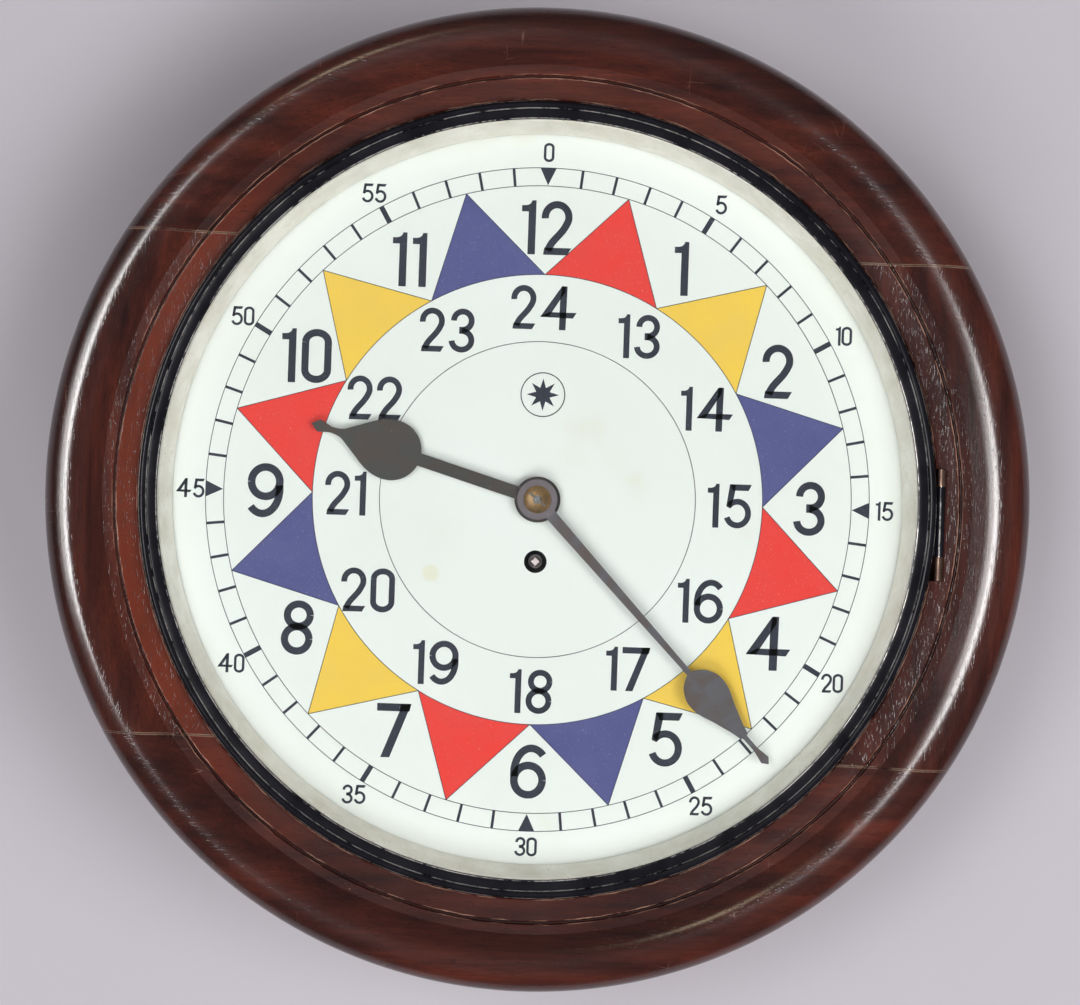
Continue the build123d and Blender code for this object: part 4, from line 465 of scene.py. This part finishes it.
surround_section = (
    [(128.4, 100.0), (225.6, 100.0), (226.05, 100.4), (227.3, 110.0)]
    + arc_run((216.4, 120.3), (12.2, 12.2), -7.8, 90.0, 26)
    + arc_run((216.4, 116.5), (16.0, 16.0), 93.0, 126.5, 14)
    + [(201.5, 125.42), (199.0, 125.22), (197.2, 125.07), (197.0, 124.9), (196.85, 124.3), (196.6, 123.5),
       (195.95, 123.4), (195.62, 124.3), (195.55, 125.1), (195.35, 125.55), (195.0, 125.74),
       (194.4, 125.7), (193.0, 125.5), (190.0, 125.15), (187.0, 124.95), (186.0, 124.88), (185.5, 124.75),
       (185.2, 124.4), (185.2, 116.0), (178.4, 116.0), (178.4, 112.0), (128.0, 112.0), (128.0, 100.4)])
joint_normal = Vector((math.sin(joint_lean), 0, math.cos(joint_lean)))
side_normal = Vector((math.cos(joint_lean), 0, -math.sin(joint_lean)))
joint_gap = 0.00004
hinge_recess = ((178.0, -131.0, -31.6), (188.6, -116.0, 20.6))
catch_slot = ((-183.3, -131.0, -7.3), (-179.5, -106.9, 7.3))


def segment(name, keeps):
    """One segment of the turned ring: what lies in front of each (point, direction) plane."""
    bm = bmesh.new()
    bm.from_mesh(lathe(name, surround_section))
    for spot, direction in keeps:
        bmesh.ops.bisect_plane(bm, geom=bm.verts[:] + bm.edges[:] + bm.faces[:], plane_co=spot,
                               plane_no=-direction, clear_outer=True)
        open_edges = [edge for edge in bm.edges if len(edge.link_faces) == 1]
        bmesh.ops.holes_fill(bm, edges=open_edges, sides=0)
    bmesh.ops.triangulate(bm, faces=[face for face in bm.faces if len(face.verts) > 4])
    made = bpy.data.meshes.new(name)
    bm.to_mesh(made)
    bm.free()
    return made


ring_middle = Vector((0, 0, 0))
above = (joint_normal * (joint_at + joint_gap), joint_normal)
below = (-joint_normal * (joint_at + joint_gap), -joint_normal)
under_top = (joint_normal * (joint_at - joint_gap), -joint_normal)
over_bottom = (-joint_normal * (joint_at - joint_gap), joint_normal)
top_mesh = segment("surround_top", [above])
bottom_mesh = segment("surround_bottom", [below])
left_mesh = segment("surround_left", [under_top, over_bottom, (ring_middle, -side_normal)])
right_mesh = segment("surround_right", [under_top, over_bottom, (ring_middle, side_normal)])
right_mesh = cut_away(right_mesh, block_mesh("hinge_recess", *hinge_recess))
left_mesh = cut_away(left_mesh, block_mesh("catch_slot", *catch_slot))
for side, mesh, finish in (("top", top_mesh, mahogany_level), ("bottom", bottom_mesh, mahogany_level),
                           ("left", left_mesh, mahogany_upright), ("right", right_mesh, mahogany_upright)):
    new_piece("turned_surround_" + side, smooth_mesh(mesh), finish, "case", "mahogany",
              "surround_" + side + "_segment")


# Box: sides, top, curved floor and back board of plainer mahogany, rubbed with a thin satin varnish,
# screwed together and held to the surround's glued lugs by four turned pegs, with two small doors.
def plain_wood(name, turn, light, middle, dark):
    """Box timber under a thin varnish, its grain along X after the turn."""
    made, tree, shader = finish_tree(name)
    where = place(tree)
    wood = placed(tree, wood_grain, {"Along grain": stretched(tree, where, (1.0, 1.0, 1.0), turn),
                                     "Light": light, "Middle": middle, "Dark": dark})
    marks = placed(tree, knocks, {"Vector": where, "Amount": 0.5})
    colour = laid_over(tree, wood["Colour"], marks["Mask"], 0.4, srgb(170, 130, 100))
    colour = blend_colours(tree, between(tree, marks["Haze"], 0.0, 1.0, 0.0, 0.25), colour, dark)
    dullness = between(tree, marks["Haze"], 0.0, 1.0, 0.42, 0.62)
    feed(tree, shader, colour, dullness, wood["Height"], 0.5, 0.0002)
    return made


carcase_tones = (srgb(146, 88, 56), srgb(112, 60, 38), srgb(66, 32, 22))
peg_tones = (srgb(160, 104, 66), srgb(128, 76, 46), srgb(80, 44, 28))
wood_across = plain_wood("box_wood_across", level_grain, *carcase_tones)
wood_upright = plain_wood("box_wood_upright", upright_grain, *carcase_tones)
wood_turned = plain_wood("box_wood_turned", level_grain, *peg_tones)


def dress(material, *names):
    """Gives carried-over nodes their material."""
    for name in names:
        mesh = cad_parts[name].data
        mesh.materials.clear()
        mesh.materials.append(material)


dress(wood_across, "box_top", "box_bottom", "back_board", "pendulum_door", "surround_lugs")
dress(wood_upright, "box_left_side", "box_right_side", "side_door")
dress(wood_turned, "fixing_pegs")


# Metals: brass plates and wheels under old lacquer, dull brass fittings, bronze-brown hinge knuckles, a
# browned brass collet, bright steel arbors, pins and screws, and black-brown iron for the hanging plate
# and the wood screws. The front plate is painted dark round the winding arbor as painted shade seen
# through the winding hole; the arbor's square is steel.
metal_marks, given, out = group(
    "metal_marks",
    [("Vector", "Vector", None), ("Bright", "Color", srgb(214, 178, 104)),
     ("Tarnish", "Color", srgb(120, 84, 44)), ("Amount", "Float", 0.5)],
    [("Colour", "Color"), ("Dullness", "Float"), ("Height", "Float")])
tree = metal_marks
where = given["Vector"]
stain = clouds(tree, where, 70.0, 6.0, 0.62, 0.3)
speck = patches(tree, where, 900.0, 3.0, 0.58, 0.68)
brushed = streaks(tree, where, (260.0, 260.0, 5200.0), 2.0)
share = times(tree, between(tree, stain, 0.42, 0.66), given["Amount"])
share = plus(tree, share, times(tree, speck, times(tree, given["Amount"], 0.35)), clamp=True)
tree.links.new(blend_colours(tree, share, given["Bright"], given["Tarnish"]), out.inputs["Colour"])
tree.links.new(share, out.inputs["Dullness"])
tree.links.new(plus(tree, brushed, times(tree, share, -0.5)), out.inputs["Height"])


def metal_finish(name, bright, tarnish, amount, smooth, dull, metallic=1.0, strength=0.15):
    """Metal with stains, specks and fine brush marks."""
    made, tree, shader = finish_tree(name)
    marks = placed(tree, metal_marks, {"Vector": place(tree), "Bright": bright, "Tarnish": tarnish,
                                       "Amount": amount})
    dullness = between(tree, marks["Dullness"], 0.0, 1.0, smooth, dull)
    feed(tree, shader, marks["Colour"], dullness, marks["Height"], strength, 0.0001)
    shader.inputs["Metallic"].default_value = metallic
    return made


lacquered_brass = metal_finish("lacquered_brass", srgb(218, 184, 110), srgb(150, 108, 56), 0.6, 0.22, 0.45)
dull_brass = metal_finish("dull_brass", srgb(176, 138, 84), srgb(96, 70, 44), 0.85, 0.3, 0.6)
bright_steel = metal_finish("bright_steel", srgb(190, 190, 192), srgb(120, 112, 104), 0.5, 0.2, 0.45)
black_iron = metal_finish("black_iron", srgb(96, 92, 90), srgb(84, 58, 42), 0.8, 0.45, 0.75)
hinge_bronze = metal_finish("hinge_bronze", srgb(118, 94, 80), srgb(66, 50, 44), 0.9, 0.35, 0.6, 0.7)
collet_brass = metal_finish("collet_brass", srgb(150, 120, 80), srgb(70, 54, 38), 0.95, 0.28, 0.5, 0.6, 0.9)

winding_drop = 0.029
plate_shade_edge = (0.012, 0.018)
square_edge = (0.0043, 0.0046)


def arbor_metal(name, edge, inside, outside):
    """Metal that changes from one colour to another at a distance from the winding arbor's axis."""
    made, tree, shader = finish_tree(name)
    where = place(tree)
    parts = apart(tree, where)
    near = fading(tree, off_axis(tree, parts["X"], plus(tree, parts["Z"], winding_drop)), *edge)
    marks = placed(tree, metal_marks, {"Vector": where, "Amount": 0.6})
    colour = blend_colours(tree, near, outside, inside)
    colour = laid_over(tree, colour, marks["Dullness"], 0.5, srgb(60, 48, 40))
    dullness = between(tree, marks["Dullness"], 0.0, 1.0, 0.28, 0.5)
    feed(tree, shader, colour, dullness, marks["Height"], 0.15, 0.0001)
    shader.inputs["Metallic"].default_value = 0.9
    return made


# Painted shade: the front plate is dark round the winding arbor, where it lies in shade behind the winding
# hole.
shaded_front_plate = arbor_metal("front_plate_painted_shade", plate_shade_edge, srgb(30, 31, 36), srgb(212, 178, 106))
fusee_metal = arbor_metal("fusee_metal", square_edge, srgb(206, 194, 194), srgb(214, 180, 108))

dress(lacquered_brass, "back_plate", "plate_pillars", "back_cock", "great_wheel", "centre_wheel",
      "third_wheel", "escape_wheel", "barrel", "pendulum_bob", "rating_nut", "cannon_pinion",
      "minute_wheel", "minute_cock", "motion_bridge", "hour_wheel", "dial_feet")
dress(shaded_front_plate, "front_plate")
dress(fusee_metal, "fusee")
dress(dull_brass, "door_hinges", "side_door_catch", "pendulum_door_catch", "bezel_catch")
dress(hinge_bronze, "bezel_hinge_case_leaf")
dress(collet_brass, "hand_collet")
dress(bright_steel, "bezel_hinge_pin", "surround_screws", "movement_pins", "movement_screws",
      "barrel_arbor", "setup_ratchet_and_click", "fusee_line", "centre_arbor", "hand_pin", "mainspring",
      "anchor", "crutch", "suspension_spring", "pendulum_rod")
dress(black_iron, "hanging_plate", "case_screws")


# Bezel: a turned metal ring painted black, with a round bead outside and a nearly flat lip over the glass,
# hinged on the right. The paint is worn silvery along three turned lines, and the middle hinge knuckle
# carries a silvery line that is partly wear and partly painted highlight.
# A silvered sight ring, pressed in behind the glass, slopes down to the dial.
worn_lines_r = (0.1842, 0.1807, 0.1761)
worn_half_widths = (0.0003, 0.00025, 0.0003)
knuckle_x = 0.1864
knuckle_from_r = (0.1847, 0.1849)
bezel_front_y = (-0.1302, -0.1306)

bezel_black, tree, shader = finish_tree("bezel_black")
where = place(tree)
across, back, up = apart(tree, where)
radius = off_axis(tree, across, up)
rub = clouds(tree, where, 45.0, 4.0, 0.6)
fine_rub = clouds(tree, where, 420.0, 3.0, 0.6)
lines, *more_lines = [near_line(tree, radius, line_r, half * 0.4, half)
                      for line_r, half in zip(worn_lines_r, worn_half_widths)]
for line in more_lines:
    lines = plus(tree, lines, line, clamp=True)
# Silvery line along the middle hinge knuckle: partly worn paint, partly painted highlight.
knuckle_wear_glint = times(tree, near_line(tree, across, knuckle_x, 0.0001, 0.0004),
                between(tree, radius, *knuckle_from_r))
lines = plus(tree, times(tree, lines, between(tree, back, *bezel_front_y)), knuckle_wear_glint, clamp=True)
wear_and_knuckle_glint = times(tree, lines, between(tree, plus(tree, rub, times(tree, fine_rub, 0.6)), 0.72, 0.9))
colour = blend_colours(tree, between(tree, rub, 0.3, 0.7), srgb(17, 17, 22), srgb(30, 29, 35))
colour = blend_colours(tree, wear_and_knuckle_glint, colour, srgb(178, 174, 170))
dullness = between(tree, rub, 0.3, 0.7, 0.18, 0.28)
relief = calc(tree, "SUBTRACT", fine_rub, times(tree, wear_and_knuckle_glint, 0.6))
feed(tree, shader, colour, dullness, relief, 0.2, 0.0001)
tree.links.new(times(tree, wear_and_knuckle_glint, 0.15), shader.inputs["Metallic"])
shader.inputs["Specular IOR Level"].default_value = 0.12

bezel_section = [
    (184.4, 116.5), (184.2, 116.3), (182.2, 116.3), (182.0, 116.5), (182.0, 126.2), (180.15, 126.2),
    (180.15, 130.2), (175.7, 130.2), (175.6, 130.3), (175.6, 131.0), (175.7, 131.2), (175.9, 131.3),
    (178.0, 131.38), (179.95, 131.6), (180.2, 131.55), (180.35, 131.4), (180.55, 131.5), (180.75, 132.1),
    (181.1, 132.5), (181.6, 132.84), (182.2, 132.99), (182.8, 132.9), (183.4, 132.5), (183.85, 131.9),
    (184.15, 131.2), (184.33, 130.5), (184.4, 129.8)]
new_piece("turned_bezel", smooth_mesh(lathe("turned_bezel", bezel_section)), bezel_black, "bezel",
          "bezel_black", "bezel_ring")
dress(bezel_black, "bezel_hinge_leaf")

silvered, tree, shader = finish_tree("silvered_ring")
where = place(tree)
smoke = clouds(tree, where, 60.0, 6.0, 0.65)
specks = patches(tree, where, 800.0, 3.0, 0.62, 0.72)
colour = blend_colours(tree, between(tree, smoke, 0.35, 0.7), srgb(250, 247, 238), srgb(228, 223, 208))
colour = laid_over(tree, colour, specks, 0.4, srgb(110, 98, 80))
feed(tree, shader, colour, between(tree, smoke, 0.3, 0.7, 0.38, 0.55), smoke, 0.1, 0.0002)
shader.inputs["Metallic"].default_value = 0.1

sight_section = [(180.1, 128.2), (180.1, 127.2), (175.8, 127.2), (171.0, 114.4), (170.9, 114.3),
                 (170.3, 114.3), (170.2, 114.4), (174.95, 127.6), (175.0, 128.2)]
new_piece("silvered_sight_ring", smooth_mesh(lathe("silvered_sight_ring", sight_section)), silvered,
          "bezel", "silvered", "sight_ring")


# Glass: one flat pane, faintly green, held in the bezel by the sight ring. Lamp light goes straight
# through it to the dial.
window_glass, tree, shader = finish_tree("window_glass")
shader.inputs["Base Color"].default_value = (0.97, 0.99, 0.98, 1.0)
shader.inputs["Transmission Weight"].default_value = 1.0
shader.inputs["IOR"].default_value = 1.5
dust = clouds(tree, place(tree), 30.0, 6.0, 0.65)
tree.links.new(between(tree, dust, 0.55, 0.8, 0.0, 0.05), shader.inputs["Roughness"])
clear = put(tree, "BsdfTransparent")
path_kind = put(tree, "LightPath").outputs
light_only = calc(tree, "MAXIMUM", path_kind["Is Shadow Ray"], path_kind["Is Diffuse Ray"])
pane = put(tree, "MixShader", {0: light_only, 1: shader.outputs[0], 2: clear.outputs[0]})
tree.links.new(pane.outputs[0], tree.nodes["Material Output"].inputs["Surface"])
dress(window_glass, "bezel_glass")


# Dial: a flat steel plate with white enamel paint, a little aged, held by feet on its back. It is printed
# in dark slate, with twelve coloured triangles that stand on the hour circle and a plain star in a ring.
rim_dirt_and_shade_r = (0.165, 0.176)
drip_at = (-0.0487, -0.1132, -0.0359)
drip_reach = (0.005, 0.007)

dial_paint, tree, shader = finish_tree("dial_paint")
where = place(tree)
parts = apart(tree, where)
radius = off_axis(tree, parts["X"], parts["Z"])
age = clouds(tree, where, 11.0, 5.0, 0.6)
stains = patches(tree, where, 24.0, 4.0, 0.64, 0.76, 0.6)
flecks = times(tree, dots(tree, where, 120.0, 0.02, 0.05), patches(tree, where, 33.0, 2.0, 0.62, 0.66))
# Darker and yellower towards the rim: partly ageing, partly painted shade from the bezel.
rim_dirt_and_shade = between(tree, plus(tree, radius, times(tree, age, 0.006)), *rim_dirt_and_shade_r)
from_drip = put(tree, "VectorMath", {0: where, 1: drip_at}, operation="DISTANCE").outputs["Value"]
drip = fading(tree, plus(tree, from_drip, times(tree, age, 0.004)), *drip_reach)
colour = blend_colours(tree, between(tree, age, 0.3, 0.7), srgb(238, 243, 239), srgb(234, 239, 233))
colour = laid_over(tree, colour, stains, 0.22, srgb(222, 212, 176))
colour = laid_over(tree, colour, rim_dirt_and_shade, 0.2, srgb(214, 208, 186))
colour = laid_over(tree, colour, flecks, 0.5, srgb(120, 110, 96))
colour = laid_over(tree, colour, drip, 0.4, srgb(226, 220, 172))
dullness = between(tree, age, 0.3, 0.7, 0.5, 0.62)
feed(tree, shader, colour, dullness, clouds(tree, where, 240.0, 3.0), 0.06, 0.0002)
shader.inputs["Specular IOR Level"].default_value = 0.08
dress(dial_paint, "dial_plate")


def print_ink(name, ink, worn_ink):
    """Printing paint with faint specks where it has rubbed."""
    made, tree, shader = finish_tree(name)
    where = place(tree)
    patch = clouds(tree, where, 55.0, 4.0, 0.6)
    specks = patches(tree, where, 1500.0, 2.0, 0.66, 0.74)
    colour = blend_colours(tree, between(tree, patch, 0.3, 0.7), ink, worn_ink)
    colour = laid_over(tree, colour, specks, 0.45, srgb(200, 205, 205))
    dullness = between(tree, patch, 0.3, 0.7, 0.5, 0.62)
    feed(tree, shader, colour, dullness, clouds(tree, where, 500.0, 3.0), 0.05, 0.0001)
    shader.inputs["Specular IOR Level"].default_value = 0.08
    return made


slate_ink = print_ink("slate_ink", srgb(46, 50, 60), srgb(58, 61, 72))
red_ink = print_ink("red_ink", srgb(236, 66, 58), srgb(232, 74, 68))
yellow_ink = print_ink("yellow_ink", srgb(246, 207, 82), srgb(240, 202, 92))
blue_ink = print_ink("blue_ink", srgb(82, 86, 138), srgb(92, 95, 144))

dial_front = 113.2
triangle_lift = 0.03
line_lift = 0.05
mark_lift = 0.055
number_lift = 0.06


def printed(name, outlines, material, lift):
    """Flat printed shapes just in front of the dial, from outlines of (x, z) points in millimetres."""
    made = bpy.data.meshes.new(name)
    bm = bmesh.new()
    for outline in outlines:
        face = bm.faces.new([bm.verts.new(metres(x, -(dial_front + lift), z)) for x, z in outline])
        face.normal_update()
        if face.normal.y > 0:
            face.normal_flip()
    bmesh.ops.triangulate(bm, faces=[face for face in bm.faces if len(face.verts) > 4])
    bm.to_mesh(made)
    bm.free()
    new_piece(name, made, material, "case", "dial_paint")


def clock_point(radius, turn):
    """Point at a radius and a clockwise angle in degrees from twelve."""
    angle = math.radians(turn)
    return (radius * math.sin(angle), radius * math.cos(angle))


def circle_band(radius, width, pieces=360):
    """A thin printed circle as short four-sided pieces."""
    made = []
    for step in range(pieces):
        start = 360 * step / pieces
        stop = 360 * (step + 1) / pieces
        made.append([clock_point(radius - width / 2, start), clock_point(radius + width / 2, start),
                     clock_point(radius + width / 2, stop), clock_point(radius - width / 2, stop)])
    return made


def bar_between(near, far, off):
    """A printed bar between two points, as wide as the offset to each of its sides says."""
    return [(near[0] - off[0], near[1] - off[1]), (far[0] - off[0], far[1] - off[1]),
            (far[0] + off[0], far[1] + off[1]), (near[0] + off[0], near[1] + off[1])]


inner_circle_r = 73.7
hour_circle_r = 105.0
track_in = 146.4
track_out = 154.8
line_w = 0.36
lines = []
for ring_r in (inner_circle_r, track_in, track_out, hour_circle_r):
    lines += circle_band(ring_r, line_w)

minute_turn = 6
minute_w = 1.3
five_minutes_w = 2.4
quarter_gap = 0.3
quarter_spread = 1.4
marks = []
for minute in range(60):
    turn = minute_turn * minute
    if minute % 15 == 0:
        marks.append([clock_point(track_in + quarter_gap, turn),
                      clock_point(track_out, turn - quarter_spread),
                      clock_point(track_out, turn + quarter_spread)])
    else:
        width = minute_w if minute % 5 else five_minutes_w
        angle = math.radians(turn)
        marks.append(bar_between(clock_point(track_in, turn), clock_point(track_out, turn),
                                 (math.cos(angle) * width / 2, -math.sin(angle) * width / 2)))

hour_turn = 30
foot_steps = 24
triangles = {"red": [], "yellow": [], "blue": []}
for hour in range(12):
    start = hour_turn * hour
    foot_points = [clock_point(hour_circle_r, start + hour_turn * step / foot_steps)
                   for step in range(foot_steps + 1)]
    apex = clock_point(track_in, start + hour_turn / 2)
    triangles[("red", "yellow", "blue")[hour % 3]].append([apex] + foot_points[::-1])
    for foot_turn in (start, start + hour_turn):
        foot = clock_point(hour_circle_r, foot_turn)
        run = Vector((apex[0] - foot[0], apex[1] - foot[1])).normalized()
        lines.append(bar_between(foot, apex, Vector((-run.y, run.x)) * line_w / 2))
printed("dial_red_triangles", triangles["red"], red_ink, triangle_lift)
printed("dial_yellow_triangles", triangles["yellow"], yellow_ink, triangle_lift)
printed("dial_blue_triangles", triangles["blue"], blue_ink, triangle_lift)
printed("dial_lines", lines, slate_ink, line_lift)
printed("dial_minute_marks", marks, slate_ink, mark_lift)

star_x = 0.9
star_z = 49.0
star_point_r = 7.6
star_notch_r = 3.4
star_ring_r = 10.2
star_ring_w = 0.5
star_points = 8
star = [clock_point(star_notch_r if step % 2 else star_point_r, 180 / star_points * step)
        for step in range(2 * star_points)]
star_mark = [[(star_x + x, star_z + z) for x, z in outline]
             for outline in [star] + circle_band(star_ring_r, star_ring_w, pieces=96)]
printed("dial_star_mark", star_mark, slate_ink, line_lift)

stroke_w = 0.134


def stroke(run, width=stroke_w):
    """Four-sided pieces that cover a line of points with a stroke of even width."""
    sides = []
    for spot, point in enumerate(run):
        before = Vector(run[max(spot - 1, 0)])
        after = Vector(run[min(spot + 1, len(run) - 1)])
        across = (after - before).normalized()
        across = Vector((-across.y, across.x)) * width / 2
        here = Vector(point)
        sides.append((tuple(here + across), tuple(here - across)))
    return [[first[0], second[0], second[1], first[1]] for first, second in zip(sides, sides[1:])]


# The ten figures' outlines, one unit high, each with its width.
six = (stroke(arc_run((0.341, 0.339), (0.262, 0.272), 0, 360, 40), 0.142)
       + stroke(arc_run((0.388, 0.478), (0.312, 0.452), 190, 46, 24), 0.14))
figures = {
    "0": (stroke(arc_run((0.277, 0.755), (0.21, 0.178), 180, 0, 24)
                 + arc_run((0.277, 0.245), (0.21, 0.178), 0, -180, 24) + [(0.067, 0.755)]), 0.554),
    "1": ([[(0.127, 0), (0.265, 0), (0.265, 1.0), (0.187, 1.0), (0.177, 0.965), (0.155, 0.937),
            (0.127, 0.918)],
           [(0, 0.79), (0.127, 0.79), (0.127, 0.918), (0.075, 0.905), (0, 0.905)]], 0.265),
    "2": (stroke(arc_run((0.285, 0.70), (0.2185, 0.233), 187, -22, 30)
                 + [(0.47, 0.575), (0.435, 0.51), (0.385, 0.435), (0.325, 0.365), (0.262, 0.295),
                    (0.205, 0.225), (0.163, 0.155), (0.128, 0.075)])
          + [[(0.046, 0), (0.49, 0), (0.565, 0.132), (0.066, 0.132)]], 0.565),
    "3": (stroke(arc_run((0.308, 0.7255), (0.2025, 0.208), 181, -90, 30))
          + stroke(arc_run((0.292, 0.279), (0.2255, 0.2125), 90, -176, 32))
          + [[(0.234, 0.425), (0.34, 0.425), (0.34, 0.584), (0.234, 0.584)]], 0.584),
    "4": ([[(0.435, 0), (0.585, 0), (0.602, 1.0), (0.478, 1.0), (0.441, 0.686)],
           [(0, 0.29), (0.19, 0.29), (0.262, 0.401), (0.441, 0.686), (0.56, 0.87), (0.56, 1.0),
            (0.478, 1.0)],
           [(0, 0.29), (0.745, 0.272), (0.827, 0.401), (0.2, 0.401)]], 0.827),
    "5": ([[(0.132, 1.0), (0.628, 1.0), (0.559, 0.857), (0.2, 0.857)],
           [(0.132, 1.0), (0.258, 1.0), (0.258, 0.857), (0.216, 0.634), (0.156, 0.444), (0.063, 0.492)]]
          + stroke(arc_run((0.315, 0.3365), (0.2485, 0.27), 142, -160, 32)), 0.634),
    "6": (six, 0.678),
    "7": ([[(0, 0.857), (0.6, 0.857), (0.632, 1.0), (0, 1.0)],
           [(0.085, 0), (0.254, 0), (0.632, 1.0), (0.45, 1.0), (0.417, 0.857)]], 0.632),
    "8": (stroke(arc_run((0.3246, 0.731), (0.212, 0.2055), 0, 360, 36))
          + stroke(arc_run((0.30, 0.29), (0.2265, 0.2255), 0, 360, 40), 0.136), 0.61),
    "9": ([[(0.678 - x, 1 - y) for x, y in shape] for shape in six], 0.678),
}


def number_shapes(number, radius, turn, height, gap):
    """A number's outlines, centred on a point of the dial and upright; the gap is a share of the height."""
    middle = clock_point(radius, turn)
    wide = sum(figures[digit][1] for digit in number) + gap * (len(number) - 1)
    start = -wide / 2
    made = []
    for digit in number:
        shapes, width = figures[digit]
        for shape in shapes:
            made.append([(middle[0] + (start + x) * height, middle[1] + (y - 0.5) * height)
                         for x, y in shape])
        start += width + gap
    return made


morning_r = 126.9
morning_high = 25.2
afternoon_r = 89.6
afternoon_high = 20.5
hour_gap = 0.105
hour_numbers = []
for hour in range(1, 13):
    hour_numbers += number_shapes(str(hour), morning_r, hour_turn * hour, morning_high, hour_gap)
    hour_numbers += number_shapes(str(hour + 12), afternoon_r, hour_turn * hour, afternoon_high, hour_gap)
printed("dial_hour_numbers", hour_numbers, slate_ink, number_lift)

minute_number_r = 162.0
minute_number_high = 8.9
minute_gap = 0.04
minute_numbers = []
for minute in range(0, 60, 5):
    minute_numbers += number_shapes(str(minute), minute_number_r, minute_turn * minute, minute_number_high,
                                    minute_gap)
printed("dial_minute_numbers", minute_numbers, slate_ink, number_lift)


# Hands: sheet steel, sawn and filed to pods and points, blackened; a domed brass collet and a taper pin
# hold the minute hand on the centre arbor.
boss_r = (0.0095, 0.0105)


def hand_steel(name, steel, brown, boss_tone):
    """Blackened steel that has browned in clouds, with bright pinpricks and a boss of its own tone."""
    made, tree, shader = finish_tree(name)
    where = place(tree)
    parts = apart(tree, where)
    bloom = clouds(tree, where, 90.0, 6.0, 0.62, 0.4)
    speck = patches(tree, where, 1300.0, 3.0, 0.68, 0.75)
    prick = dots(tree, where, 210.0, 0.03, 0.06)
    boss = times(tree, fading(tree, off_axis(tree, parts["X"], parts["Z"]), *boss_r),
                 between(tree, bloom, 0.2, 0.7, 0.9, 0.5))
    colour = blend_colours(tree, between(tree, bloom, 0.38, 0.66), steel, brown)
    colour = blend_colours(tree, boss, colour, boss_tone)
    colour = laid_over(tree, colour, speck, 0.35, srgb(42, 38, 36))
    colour = laid_over(tree, colour, prick, 0.7, srgb(176, 172, 164))
    dullness = between(tree, bloom, 0.3, 0.7, 0.36, 0.5)
    feed(tree, shader, colour, dullness, plus(tree, bloom, speck), 0.3, 0.0001)
    shader.inputs["Metallic"].default_value = 0.08
    shader.inputs["Specular IOR Level"].default_value = 0.2
    return made


dress(hand_steel("hour_hand_steel", srgb(57, 59, 58), srgb(64, 54, 49), srgb(54, 52, 54)), "hour_hand")
dress(hand_steel("minute_hand_steel", srgb(90, 90, 95), srgb(84, 72, 68), srgb(112, 104, 110)), "minute_hand")
